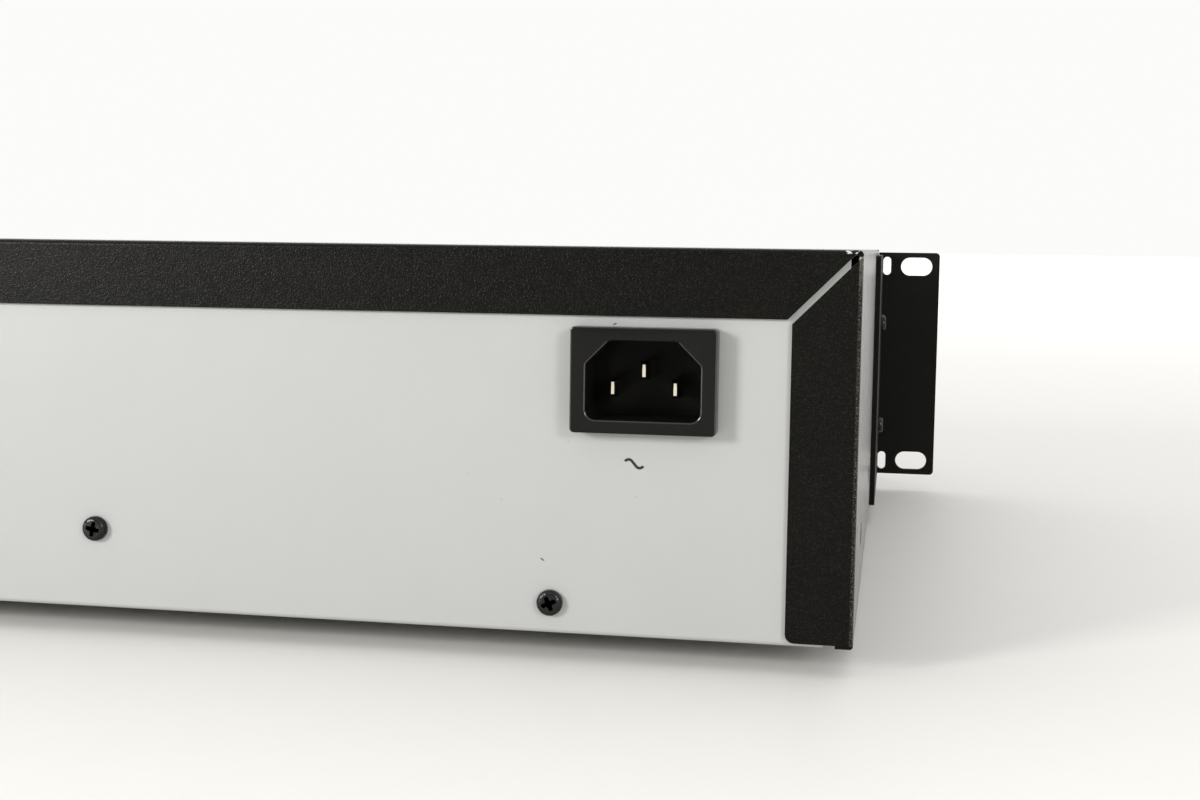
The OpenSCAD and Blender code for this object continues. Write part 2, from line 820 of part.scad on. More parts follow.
// Foot with a tapered side and a well for its screw
module foot(i) color("#161616") {
    taper = 1.5;
    hole_r = shank_r + slip;
    translate(foot_places[i]) rotate_extrude() difference() {
        polygon([[hole_r, 0], [foot_d / 2 - taper, 0], [foot_d / 2, z_sheet], [hole_r, z_sheet]]);
        translate([-over, -over]) square([foot_well_r + over, z_sheet - foot_floor + over]);
    }
}

module foot_front_left() foot(0);

module foot_front_right() foot(1);

module foot_rear_left() foot(2);

module foot_rear_right() foot(3);

module foot_screws() color("dimgray") {
    for (p = foot_places) translate([p[0], p[1], z_sheet - foot_floor]) mirror([0, 0, 1]) screw();
}

module cover_screws() color("#1a1a1a") {
    for (s = [-1, 1], d = cover_screw_d) {
        translate([s * half_w, y_rear - d, z0 + cover_screw_z]) rotate([0, s * 90, 0]) screw();
    }
}

module ear_screws() color("#1a1a1a") {
    for (s = [-1, 1], z = ear_screw_z) {
        translate([s * (half_w + ear_flange_t), y_ear + ear_screw_d, z0 + z]) rotate([0, s * 90, 0]) screw();
    }
}

module rear_screws() color("#1a1a1a") {
    for (p = rear_screw) translate([p[0], y_rear, z0 + p[1]]) rotate([-90, 0, 0]) screw();
}

// Power inlet

// Socket with slanted upper corners and round lower ones
module socket_outline() {
    x = socket_w / 2;
    z = socket_h / 2;
    difference() {
        polygon([
            [-x, -z], [-x, z - socket_slant], [socket_slant - x, z],
            [x - socket_slant, z], [x, z - socket_slant], [x, -z]
        ]);
        for (s = [-1, 1]) translate([s * x, -z]) scale([s, -1]) corner_waste(socket_r);
    }
}

module inlet_housing() color("#23231d") {
    corner = 1;
    z = z0 + inlet_z;
    y_out = y_rear + inlet_proud;
    y_floor = y_out - socket_d;
    difference() {
        union() {
            along_y(y_rear, y_out) translate([inlet_x, z]) round_rect(inlet_w, inlet_h, corner);
            along_y(y_floor - inlet_floor, y_rear) translate([inlet_x, z])
                square([socket_w + 2 * inlet_wall, socket_h + 2 * inlet_wall], center = true);
        }
        along_y(y_floor, y_out + over) translate([inlet_x, z]) socket_outline();
        along_y(y_floor - inlet_floor - over, y_floor + over) pin_outlines(slip / 4);
    }
}

module pin_outlines(gap) {
    for (p = pin_places) translate(p) square([pin_t + 2 * gap, pin_h + 2 * gap], center = true);
}

// Blades with a chamfer all round the tip
module inlet_pins() color("#d8d6cf") {
    y_out = y_rear + inlet_proud;
    y_tip = y_out - pin_set;
    difference() {
        along_y(y_out - socket_d - inlet_floor - pin_tab, y_tip) pin_outlines(0);
        for (p = pin_places, s = [-1, 1]) {
            along_z(p[1] - pin_h, p[1] + pin_h)
                translate([p[0] + s * pin_t / 2, y_tip]) scale([s, 1]) chamfer_waste(pin_chamfer);
            along_x(p[0] - pin_t, p[0] + pin_t)
                translate([y_tip, p[1] + s * pin_h / 2]) scale([1, s]) chamfer_waste(pin_chamfer);
        }
    }
}

// Rear jacks and optical sockets

module jack_block(x) {
    difference() {
        union() {
            box(
                [x - jack_block_w / 2, y_back - jack_block_d, z_main_top],
                [x + jack_block_w / 2, y_back, z_main_top + jack_block_h]
            );
            for (z = jack_z) {
                rod_y(x, z, collar_d / 2, y_back - over, y_rear + collar_h);
                rod_y(x, z, sleeve_d / 2 - sleeve_t, y_back, y_rear + jack_reach - over);
            }
        }
        for (z = jack_z) rod_y(x, z, jack_hole_d / 2, y_back - jack_block_d / 2, y_rear + jack_reach + over);
    }
}

module analog_jack_block() color("#202020") {
    for (x = analog_x) jack_block(x);
}

module coax_jack_block() color("#202020") jack_block(coax_x);

module jack_sleeves() color("gold") {
    for (x = concat(analog_x, [coax_x]), z = jack_z) along_y(y_rear + collar_h, y_rear + jack_reach) {
        translate([x, z]) difference() {
            circle(sleeve_d / 2);
            circle(sleeve_d / 2 - sleeve_t);
        }
    }
}

// Optical socket with its fibre post at the bottom of the opening
module optical_socket(i) {
    z = optical_z + i * optical_pitch;
    proud = 0.6;
    post_r = 1.2;
    post_l = 3;
    y_bottom = y_rear + proud - optical_d;
    foot_l = i == 0 ? 0 : optical_pitch - optical_w;
    along_y(y_bottom, y_rear + proud) translate([optical_x, z]) difference() {
        square(optical_w, center = true);
        square(optical_hole, center = true);
    }
    along_y(y_bottom - jack_block_d / 2, y_bottom) translate([optical_x, z - foot_l / 2])
        square([optical_w, optical_w + foot_l], center = true);
    rod_y(optical_x, z, post_r, y_bottom, y_bottom + post_l);
}

module optical_input() color("#2b2b2b") optical_socket(0);

module optical_output() color("#2b2b2b") optical_socket(1);

// Front panel, window and display

module front_panel() color("#22221e") {
    difference() {
        union() {
            difference() {
                along_z(z0, z_top) front_outline();
                box(
                    [rim_t - front_hw, y_inner, z0 + rim_t],
                    [front_hw - rim_t, y_wall + over, z_top - rim_t]
                );
            }
            for (p = boss_places) rod_y(p[0], z0 + p[1], boss_r, y_inner - over / 2, board_front);
        }
        along_y(y_face - over, y_inner + over / 4) front_openings();
    }
}

module front_outline() {
    difference() {
        translate([-front_hw, y_face]) square([2 * front_hw, front_d]);
        for (s = [-1, 1]) translate([s * front_hw, y_face]) scale([s, -1]) corner_waste(front_r);
    }
}

boss_places = [[-157, 42], [-208, 42], [2, 40], [2, 10], [208, 36], [115, 36], [115, 78], [208, 80]];

module front_openings() {
    translate([tray_x, z0 + tray_front_z])
        square([tray_front_w + 2 * key_gap, tray_front_h + 2 * key_gap], center = true);
    translate([tray_x, z0 + window_z]) square([window_w + 2 * slip, window_h + 2 * slip], center = true);
    for (i = [0 : len(transport_names) - 1]) {
        translate(transport_place(i) + [0, z0]) key_outline(transport_key, key_gap);
    }
    for (i = [0 : len(function_names) - 1]) {
        translate(function_place(i) + [0, z0]) key_outline(function_key, key_gap);
    }
    translate(power_at + [0, z0]) key_outline(power_key, key_gap);
    translate(phones_at + [0, z0]) circle(phones_bush_d / 2 + slip);
    translate(level_at + [0, z0]) circle(level_shaft_d / 2 + key_gap);
    for (p = [jog_at, phones_knob_at]) translate(p + [0, z0]) circle(shaft_d / 2 + key_gap);
}

module display_window() color("#15181a") {
    along_y(y_face, y_inner) translate([tray_x, z0 + window_z]) square([window_w, window_h], center = true);
    along_y(y_inner, y_inner + window_lip_t) translate([tray_x, z0 + window_z])
        square([window_w + 2 * window_lip, window_h + 2 * window_lip], center = true);
}

module display_module() color("#20302c") {
    edge = 4;
    along_y(board_front - display_t, board_front) translate([tray_x, z0 + window_z])
        square([window_w - edge, window_h - edge], center = true);
}

// Board behind the front panel, cut round the tray, with the switches and the knobs' shafts
module front_board() color("darkgreen") {
    edge = 3;
    low = z0 + rim_t + edge;
    high = z_top - rim_t - edge;
    board_hw = front_hw - rim_t - edge;
    notch_low = z0 + tray_front_z - tray_front_h / 2 - edge;
    pot = 16;
    difference() {
        union() {
            along_y(board_front, board_front + pcb_t) difference() {
                translate([-board_hw, low]) square([2 * board_hw, high - low]);
                translate([tray_x - tray_front_w / 2 - edge, notch_low])
                    square([tray_front_w + 2 * edge, high - notch_low + over]);
            }
            for (i = [0 : len(transport_names) - 1]) key_switch(transport_place(i), key_travel);
            for (i = [0 : len(function_names) - 1]) key_switch(function_place(i), key_travel);
            key_switch(power_at, power_travel);
            for (p = [level_at, jog_at, phones_knob_at]) {
                along_y(y_inner + edge, board_front) translate(p + [0, z0]) square(pot, center = true);
            }
            knob_shaft(level_at, level_shaft_d, level_outer_reach - over);
            knob_shaft(level_at, shaft_d, knob_reach - 2 * over);
            knob_shaft(jog_at, shaft_d, jog_reach - 3 * over);
            knob_shaft(phones_knob_at, shaft_d, jog_reach - 3 * over);
        }
        along_y(y_face, y_wall) translate(phones_at + [0, z0]) square(phones_body + 4 * slip, center = true);
    }
}

module key_switch(place, travel) {
    side = 6;
    along_y(key_back + travel + slip, board_front) translate(place + [0, z0]) square(side, center = true);
}

module knob_shaft(place, d, reach) {
    rod_y(place[0], z0 + place[1], d / 2, y_face - reach, board_front);
}

// Keys and knobs

module key_outline(size, gap) {
    round_rect(size[0] + 2 * gap, size[1] + 2 * gap, key_r + gap);
}

// Key with a stepped crown and a flange that holds it behind the face
module key(place, size) color("#3a3a36") {
    step = 0.6;
    translate([place[0], 0, z0 + place[1]]) {
        along_y(y_face - key_proud, y_face - key_proud + step) key_outline(size, -step);
        along_y(y_face - key_proud + step, key_back) key_outline(size, 0);
        along_y(key_back - key_flange_t, key_back) key_outline(size, key_gap + key_flange);
    }
}

module power_button() key(power_at, power_key);

module skip_back_key() key(transport_place(0), transport_key);

module skip_next_key() key(transport_place(1), transport_key);

module stop_key() key(transport_place(2), transport_key);

module pause_key() key(transport_place(3), transport_key);

module play_key() key(transport_place(4), transport_key);

module record_key() key(transport_place(5), transport_key);

module eject_key() key(function_place(0), function_key);

module menu_key() key(function_place(1), function_key);

module display_key() key(function_place(2), function_key);

module input_key() key(function_place(3), function_key);

// Turned knob facing the front, with its shaft's bore and grip flutes round its side
module knob(place, d, back, reach, bore_d, bore_reach, grooves) {
    chamfer = 0.8;
    depth = reach - back;
    translate([place[0], y_face - back, z0 + place[1]]) rotate([90, 0, 0]) difference() {
        rotate_extrude() polygon([
            [0, 0], [d / 2, 0], [d / 2, depth - chamfer], [d / 2 - chamfer, depth], [0, depth]
        ]);
        translate([0, 0, -over]) cylinder(r = bore_d / 2 + bearing_gap, h = bore_reach - back + over);
        for (i = [1 : grooves]) {
            rotate(i * 360 / grooves) translate([d / 2 + flute_r / 2, 0, chamfer])
                cylinder(r = flute_r, h = reach);
        }
    }
}

module phones_knob() color("#2c2c2a") {
    knob(phones_knob_at, phones_knob_d, knob_gap, jog_reach, shaft_d, jog_reach - 2 * over, 0);
}

module level_knob_outer() color("#2c2c2a") {
    bore_l = level_outer_reach + over;
    knob(level_at, level_outer_d, knob_gap, level_outer_reach, level_shaft_d, bore_l, flutes);
}

module level_knob_inner() color("#3a3a38") {
    back = level_outer_reach + knob_gap;
    knob(level_at, level_inner_d, back, knob_reach, shaft_d, knob_reach - over, flutes);
}

// Dial with a dimple for the fingertip
module jog_dial() color("#2c2c2a") difference() {
    dimple_sink = 3;
    dimple_turn = 40;
    dimple_r = jog_dimple_d / 2;
    arm = jog_d / 2 - dimple_r - 2;
    knob(jog_at, jog_d, knob_gap, jog_reach, shaft_d, jog_reach - 2 * over, 0);
    translate([jog_at[0], y_face - jog_reach - dimple_r + dimple_sink, z0 + jog_at[1]])
        rotate([0, -dimple_turn, 0]) translate([arm, 0, 0]) sphere(dimple_r);
}

// Phones socket: body, bush through the face and its nut
module phones_socket() color("#1c1c1c") {
    x = phones_at[0];
    z = z0 + phones_at[1];
    y_end = y_inner + phones_l;
    difference() {
        union() {
            along_y(y_inner, y_end) translate([x, z]) square(phones_body, center = true);
            rod_y(x, z, phones_bush_d / 2, y_face - phones_nut_t - over / 2, y_inner);
            rod_y(x, z, phones_nut_d / 2, y_face - phones_nut_t, y_face);
        }
        rod_y(x, z, phones_d / 2, y_face - phones_nut_t - over, y_end + over);
    }
}

// Disc loader

// Moulded frame: base, side walls, ledges and guides for the tray, gear posts, pivot lugs and legs
module loader_frame() color("#3b3d3f") translate([tray_x, 0, 0]) {
    z_ledge = z_skirt - slide_gap;
    guide_l = 12;
    guide_t = 2;
    z_guide = z_deck + slide_gap;
    window_hw = traverse_hw + window_gap;
    y_window = disc_y - traverse_fore - window_gap;
    difference() {
        union() {
            box([-loader_hw, y_loader, z_base], [loader_hw, y_loader_end, z_base_top]);
            for (s = [-1, 1]) {
                along_y(y_loader, y_loader_end) scale([s, 1]) loader_side(z_ledge);
                for (y = [y_loader, y_loader + guide_l * 3]) {
                    along_y(y, y + guide_l) scale([s, 1]) translate([loader_in - guide_t, z_guide])
                        square([guide_t + loader_wall / 2, guide_t]);
                }
                x_lug = s * (window_hw + lug_t / 2) - lug_t / 2;
                box([x_lug, y_pivot - lug_t, z_base], [x_lug + lug_t, y_pivot + lug_t, z_pivot + pivot_d]);
            }
            box([-loader_hw, y_loader_end - loader_wall, z_base], [loader_hw, y_loader_end, z_skirt]);
            for (s = [-1, 1], y = [y_loader + leg_d, y_loader_end - leg_d]) {
                rod_z(s * (loader_hw - leg_d / 2), y, leg_d / 2, z_floor, z_base_top);
            }
            gear_post(tray_gear_x - tray_x, z_tray_gear - slide_gap, z_deck_low - over);
            gear_post(pulley_x - tray_x, z_base_top, z_deck_low - 2 * skirt_t);
        }
        box([-window_hw, y_window, z_base - over], [window_hw, y_pivot + lug_t, z_base_top + over]);
        rod_x(y_pivot, z_pivot, pivot_d / 2 + bearing_gap, -loader_in, loader_in);
        rod_z(motor_x - tray_x, y_gear, gear_post_r, z_base - over, z_base_top + over);
    }
}

module loader_side(z_ledge) {
    translate([loader_in, z_base]) square([loader_wall, z_bridge - z_base]);
    translate([loader_in - ledge_w, z_ledge - ledge_t]) square([ledge_w + loader_wall / 2, ledge_t]);
}

module gear_post(x, z_seat, z_end) {
    rod_z(x, y_gear, gear_seat_r, z_base, z_seat);
    rod_z(x, y_gear, gear_post_r, z_base, z_end);
}

// Sheet across the loader's walls, with a round hole that holds the clamper
module clamp_bridge() color("lightgray") {
    along_z(z_bridge, z_bridge + bridge_t) difference() {
        translate([tray_x - loader_hw, y_loader]) square([2 * loader_hw, y_loader_end - y_loader]);
        translate([tray_x, disc_y]) circle(clamper_d / 2 + slide_gap);
    }
}

module clamper() color("#d9d9d2") {
    flange_t = 2;
    drop = 3;
    z_seat = z_bridge + bridge_t + slip;
    rod_z(tray_x, disc_y, clamper_d / 2, z_bridge - drop, z_seat);
    rod_z(tray_x, disc_y, clamper_flange_d / 2, z_seat, z_seat + flange_t);
}

// Tray with wells for two disc sizes, a slot open to the rear over the turntable, skirts and a rack
module disc_tray() color("#2a2a2a") {
    y_front = y_face + tray_front_t;
    slot_r = tray_slot_w / 2;
    z_well = z_deck - well_depth;
    translate([tray_x, 0, 0]) {
        difference() {
            box([-tray_w / 2, y_front, z_deck_low], [tray_w / 2, y_tray_end, z_deck]);
            rod_z(0, disc_y, (disc_d + well_room) / 2, z_well, z_deck + over);
            rod_z(0, disc_y, small_well_d / 2, z_well - small_well_depth, z_deck + over);
            rod_z(0, disc_y, slot_r, z_deck_low - over, z_deck + over);
            box([-slot_r, disc_y, z_deck_low - over], [slot_r, y_tray_end + over, z_deck + over]);
        }
        for (s = [-1, 1]) {
            x = s * (tray_w - skirt_t) / 2 - skirt_t / 2;
            box([x, y_front, z_skirt], [x + skirt_t, y_tray_end, z_deck_low]);
        }
        along_z(z_skirt, z_deck_low) translate([-rack_x, y_gear]) rack_outline();
    }
}

module tray_front() color("#22221e") {
    along_y(y_face, y_face + tray_front_t) translate([tray_x, z0 + tray_front_z])
        square([tray_front_w, tray_front_h], center = true);
}

// Half width of a tooth at a height h above the pitch line
function tooth_half(h) = tooth_pitch * tooth_fill / 2 - h * tan(flank);

tooth_tip = addendum * gear_m;
tooth_root = -dedendum * gear_m;

// Corners of a tooth: height from the pitch line, and side
tooth_corners = [[tooth_root, -1], [tooth_tip, -1], [tooth_tip, 1], [tooth_root, 1]];

// Rack along +Y from a tooth gap at the origin, with its teeth towards +X
module rack_outline() {
    back = 5;
    lead = 2;
    polygon(concat(
        [for (i = [0 : rack_teeth - 1], e = tooth_corners)
            [e[0], (i - lead + 0.5) * tooth_pitch + e[1] * tooth_half(e[0])]],
        [[tooth_root - back, (rack_teeth - lead) * tooth_pitch], [tooth_root - back, -lead * tooth_pitch]]
    ));
}

// Gear about the origin with its first tooth turned by the given angle
module gear_outline(teeth, turn) {
    r = gear_m * teeth / 2;
    polygon([
        for (i = [0 : teeth - 1], e = tooth_corners)
            let (a = turn + i * 360 / teeth + e[1] * tooth_half(e[0]) / r * 180 / PI)
                (r + e[0]) * [cos(a), sin(a)]
    ]);
}

module tray_gear() color("ivory") {
    along_z(z_tray_gear, z_deck_low - slide_gap) translate([tray_gear_x, y_gear]) difference() {
        gear_outline(tray_teeth, 0);
        circle(gear_post_r + bearing_gap);
    }
}

// Belt pulley and its small gear in one piece
module pulley_gear() color("ivory") translate([pulley_x, y_gear, 0]) difference() {
    union() {
        pulley(pulley_d / 2);
        along_z(z_pulley_top, z_skirt - over) gear_outline(pulley_teeth, 180 / pulley_teeth);
    }
    rod_z(0, 0, gear_post_r + bearing_gap, z_base, z_deck);
}

module pulley(r) {
    rod_z(0, 0, r, z_pulley, z_pulley_top);
    rod_z(0, 0, r + pulley_lip, z_pulley, z_groove);
    rod_z(0, 0, r + pulley_lip, z_pulley_top - lip_t, z_pulley_top);
}

module motor_pulley() color("ivory") translate([motor_x, y_gear, 0]) difference() {
    pulley(motor_pulley_d / 2);
    rod_z(0, 0, motor_shaft_r + bearing_gap, z_base, z_deck);
}

motor_shaft_r = 1;

module loading_belt() color("#101010") {
    along_z(z_groove + slip, z_groove + slip + belt_w) difference() {
        belt_loop(belt_gap + belt_t);
        belt_loop(belt_gap);
    }
}

module belt_loop(gap) {
    hull() {
        translate([pulley_x, y_gear]) circle(pulley_d / 2 + gap);
        translate([motor_x, y_gear]) circle(motor_pulley_d / 2 + gap);
    }
}

module loading_motor() color("silver") {
    collar_h = base_t / 2;
    rod_z(motor_x, y_gear, motor_d / 2, z_base - motor_l, z_base);
    rod_z(motor_x, y_gear, gear_post_r - slip, z_base, z_base + collar_h);
    rod_z(motor_x, y_gear, motor_shaft_r, z_base, z_pulley_top + over);
}

// Traverse: the lifting frame that carries the spindle, the sled, its rails and its screw
module traverse_frame() color("#4a4c4e") translate([tray_x, 0, 0]) {
    y_fore = disc_y - traverse_fore;
    sled_hw = rail_x - 6;
    pin_reach = window_gap + lug_t - over;
    difference() {
        union() {
            box([-traverse_hw, y_fore, z_traverse], [traverse_hw, y_pivot + pivot_d, z_traverse_top]);
            for (p = rail_post_in) {
                y = disc_y + p;
                for (x = [-rail_x, rail_x]) rail_post(x, y);
                rail_post(screw_x, y);
            }
            for (s = [-1, 1]) {
                x = s * (traverse_hw + pin_reach / 2) - pin_reach / 2;
                rod_x(y_pivot, z_pivot, pivot_d / 2, x - over / 2, x + pin_reach + over / 2);
            }
        }
        for (x = [-rail_x, rail_x]) rod_y(x, z_rail, rail_d / 2 + bearing_gap, disc_y, y_pivot);
        rod_y(screw_x, z_rail, sled_screw_r + bearing_gap, disc_y, y_pivot);
        box(
            [-sled_hw, disc_y + spindle_d / 2 + over, z_traverse - over],
            [sled_hw, y_pivot - 2 * pivot_d, z_traverse_top + over]
        );
    }
}

sled_screw_r = 2;

module rail_post(x, y) {
    post_w = 6;
    box([x - post_w / 2, y, z_traverse], [x + post_w / 2, y + rail_post_l, z_rail + post_w / 2]);
}

// Flat spindle motor and the small motor that turns the sled's screw
module traverse_motors() color("silver") {
    sled_motor_r = z_rail - z_traverse_top - slip / 4;
    sled_motor_l = 16;
    y_end = y_rail - slip;
    difference() {
        rod_z(tray_x, disc_y, spindle_d / 2, z_traverse_top, z_spindle);
        rod_z(tray_x, disc_y, spindle_shaft_r + bearing_gap, z_traverse_top + over, z_spindle + over);
    }
    rod_y(tray_x + screw_x, z_rail, sled_motor_r, y_end - sled_motor_l, y_end);
    box(
        [tray_x + screw_x - sled_motor_r, y_end - sled_motor_l, z_traverse_top],
        [tray_x + screw_x + sled_motor_r, y_end, z_rail]
    );
}

spindle_shaft_r = 1.5;

module turntable() color("#1f1f1f") translate([tray_x, disc_y, 0]) {
    plate_t = 2.5;
    hub_h = 2.6;
    hub_taper = 1.2;
    z_shaft = z_traverse_top + 2 * over;
    z_plate = z_spindle + slide_gap;
    z_seat = z_plate + plate_t;
    rotate_extrude() polygon([
        [0, z_shaft], [spindle_shaft_r, z_shaft], [spindle_shaft_r, z_plate], [turntable_d / 2, z_plate],
        [turntable_d / 2, z_seat], [hub_d / 2, z_seat],
        [hub_d / 2 - hub_taper, z_seat + hub_h], [0, z_seat + hub_h]
    ]);
}

// Sled with two sleeves on the rails, a follower beside the screw and its lens
module pickup_sled() color("#777a7c") translate([tray_x, disc_y + lens_in, 0]) {
    body_l = 22;
    sleeve_l = 16;
    sleeve_w = 6;
    lens_r = 4;
    lens_h = 4.5;
    follower_l = 8;
    z_low = z_traverse_top + slide_gap;
    z_high = z_rail + rail_d / 2 + over;
    sleeve_x = rail_x + sleeve_w / 2;
    difference() {
        union() {
            box([-rail_x + sleeve_w / 2, -body_l / 2, z_low], [rail_x - sleeve_w / 2, body_l / 2, z_high]);
            box([-sleeve_x, -sleeve_l / 2 + 2 * over, z_low], [sleeve_x, sleeve_l / 2 + 2 * over, z_high]);
            box([0, -follower_l / 2, z_low], [screw_x - sled_screw_r - slide_gap, follower_l / 2, z_high]);
            rod_z(0, 0, lens_r, z_low, z_high + lens_h);
        }
        for (x = [-rail_x, rail_x]) rod_y(x, z_rail, rail_d / 2 + bearing_gap, -body_l, body_l);
    }
}

module sled_rails() color("silver") {
    for (s = [-1, 1]) rod_y(tray_x + s * rail_x, z_rail, rail_d / 2, y_rail, y_rail_end);
}

module sled_screw() color("silver") {
    rod_y(tray_x + screw_x, z_rail, sled_screw_r, y_rail, y_rail_end);
}

// Boards and their parts

// Main board with its chips, cooler and connectors
module main_board() color("darkgreen") {
    chip_t = 2;
    chips = [[30, 60, 28], [74, 66, 22], [118, 60, 18], [150, 90, 14], [60, 118, 14], [100, 128, 16]];
    cooler = [40, 14, 22];
    plug_w = ribbon_w + 4 * over;
    fins = 6;
    along_z(z_main, z_main_top) translate([main_x, y_main]) square([main_w, main_d]);
    for (c = chips) {
        translate([main_x + c[0], y_main + c[1], z_main]) cube([c[2], c[2], pcb_t + chip_t]);
    }
    for (i = [0 : fins - 1]) {
        translate([main_x + cooler[1], y_main + main_d / 2 + i * cooler[0] / fins, z_main])
            cube([cooler[1], cooler[0] / fins / 2, pcb_t + cooler[2]]);
    }
    translate([ribbon_x - plug_w / 2, y_main + plug_d, z_main]) cube([plug_w, plug_d, z_ribbon - z_main]);
}

// The ribbon lies on its plug on the main board
plug_d = 6;
plug_h = 9;
z_ribbon = z_main_top + plug_h;

// Power board with its fuse, coils, capacitors and cooling fins
module power_board() color("#6b4a22") {
    capacitor_r = 9;
    capacitor_h = 28;
    small_r = 5;
    small_h = 16;
    fin = [40, 3, 26];
    coil = [20, 16, 18];
    y_end = y_power + power_d;
    along_z(z_main, z_main_top) translate([power_x, y_power]) square([power_w, power_d]);
    for (i = [0, 1]) {
        y = y_power + power_d / 2 + i * 2.4 * capacitor_r;
        rod_z(power_x + power_w / 2, y, capacitor_r, z_main, z_main_top + capacitor_h);
    }
    for (i = [0 : 3]) {
        x = power_x + power_w / 4 + (i % 2) * power_w / 2;
        rod_z(x, y_power + (1 + i) * 1.6 * small_r, small_r, z_main, z_main_top + small_h);
    }
    translate([power_x + power_w / 2 - coil[0] / 2, y_end - 2 * coil[1], z_main]) cube(coil);
    translate([power_x + fin[1], y_power + power_d / 2 - fin[0], z_main]) cube([fin[1], fin[0], fin[2]]);
}

// Transformer: laminated core with its wound bobbin standing on the power board
module power_transformer() color("#8a6d3b") {
    bobbin_in = 4;
    bobbin_out = 4;
    bobbin_cap = 6;
    off_centre = 3;
    bobbin_w = transformer[0] - 2 * bobbin_in;
    bobbin_d = transformer[1] + 2 * bobbin_out;
    bobbin_h = transformer[2] - bobbin_cap;
    y_mid = y_power + power_d / 2 - transformer[1];
    translate([power_x + power_w / 2 + off_centre, y_mid, z_main_top]) {
        translate([-transformer[0] / 2, -transformer[1] / 2, 0]) cube(transformer);
        translate([-bobbin_w / 2, -bobbin_d / 2, 0]) cube([bobbin_w, bobbin_d, bobbin_h]);
    }
}

// Flat cable from the main board's plug to the back of the front board
module front_ribbon() color("#b9b9b4") {
    y_plug = y_main + 2 * plug_d;
    box(
        [ribbon_x - ribbon_w / 2, board_front + pcb_t, z_ribbon],
        [ribbon_x + ribbon_w / 2, y_plug, z_ribbon + ribbon_t]
    );
}

chassis();
rear_panel();
top_cover();
front_panel();
rack_ear_left();
rack_ear_right();
foot_front_left();
foot_front_right();
foot_rear_left();
foot_rear_right();
foot_screws();
cover_screws();
ear_screws();
rear_screws();
inlet_housing();
inlet_pins();
analog_jack_block();
coax_jack_block();
jack_sleeves();
optical_input();
optical_output();
display_window();
display_module();
front_board();
power_button();
phones_socket();
phones_knob();
level_knob_outer();
level_knob_inner();
jog_dial();
skip_back_key();
skip_next_key();
stop_key();
pause_key();
play_key();
record_key();
eject_key();
menu_key();
display_key();
input_key();
loader_frame();
clamp_bridge();
disc_tray();
tray_front();
clamper();
traverse_frame();
traverse_motors();
turntable();
pickup_sled();
sled_rails();
sled_screw();
loading_motor();
motor_pulley();
loading_belt();
pulley_gear();
tray_gear();
main_board();
power_board();
power_transformer();
front_ribbon();
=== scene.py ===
"""CD recorder for a 19 inch rack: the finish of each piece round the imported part, in metres."""

import json
import math

import bmesh
import bpy
from mathutils import Matrix, Vector

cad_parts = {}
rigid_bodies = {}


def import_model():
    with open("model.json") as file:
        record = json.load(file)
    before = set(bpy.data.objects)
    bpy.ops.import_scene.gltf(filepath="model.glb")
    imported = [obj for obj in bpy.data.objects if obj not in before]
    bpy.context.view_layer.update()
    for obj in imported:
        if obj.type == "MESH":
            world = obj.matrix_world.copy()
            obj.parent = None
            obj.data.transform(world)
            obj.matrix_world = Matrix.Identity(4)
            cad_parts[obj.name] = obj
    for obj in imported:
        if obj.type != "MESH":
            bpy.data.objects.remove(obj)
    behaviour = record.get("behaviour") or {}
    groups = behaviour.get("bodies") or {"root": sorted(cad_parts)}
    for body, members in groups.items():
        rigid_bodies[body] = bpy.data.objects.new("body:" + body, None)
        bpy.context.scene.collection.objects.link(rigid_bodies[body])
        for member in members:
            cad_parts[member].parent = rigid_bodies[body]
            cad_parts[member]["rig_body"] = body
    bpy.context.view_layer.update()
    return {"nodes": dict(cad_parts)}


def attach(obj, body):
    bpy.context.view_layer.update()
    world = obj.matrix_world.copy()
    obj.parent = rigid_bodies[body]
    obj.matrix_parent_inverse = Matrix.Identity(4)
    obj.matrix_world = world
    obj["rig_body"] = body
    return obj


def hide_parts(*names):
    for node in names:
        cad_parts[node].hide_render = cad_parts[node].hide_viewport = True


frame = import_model()


# Chassis and clamp bridge
# Sheet steel with a bright zinc plating, folded and screwed together.
# The plating has a faint spangle and fine lines from the rolling mill.


def node(tree, kind, settings=None, **inputs):
    """Adds a shader node, links or sets its inputs by name (or in0, in1 by number), and returns it."""
    made = tree.nodes.new("ShaderNode" + kind)
    for key, value in (settings or {}).items():
        setattr(made, key, value)
    for key, value in inputs.items():
        socket = made.inputs[int(key[2:])] if key[:2] == "in" else made.inputs[key.replace("_", " ")]
        if isinstance(value, bpy.types.NodeSocket):
            tree.links.new(value, socket)
        else:
            socket.default_value = value
    return made


def object_place(tree):
    """Object coordinates, which stay with the piece."""
    return node(tree, "TexCoord").outputs["Object"]


def noise(tree, place, scale, detail, roughness=0.5):
    """Smooth noise, with a number of waves per metre."""
    made = node(tree, "TexNoise", Vector=place, Scale=scale, Detail=detail, Roughness=roughness)
    return made.outputs["Fac"]


def ramp(tree, value, low, high, start=0.0, end=1.0):
    """Runs from start to end while a value runs from low to high, and stays level beyond them."""
    made = node(tree, "MapRange", Value=value, From_Min=low, From_Max=high, To_Min=start, To_Max=end)
    return made.outputs["Result"]


def calc(tree, operation, first, second):
    """The result of an operation on two values."""
    return node(tree, "Math", {"operation": operation}, in0=first, in1=second).outputs["Value"]


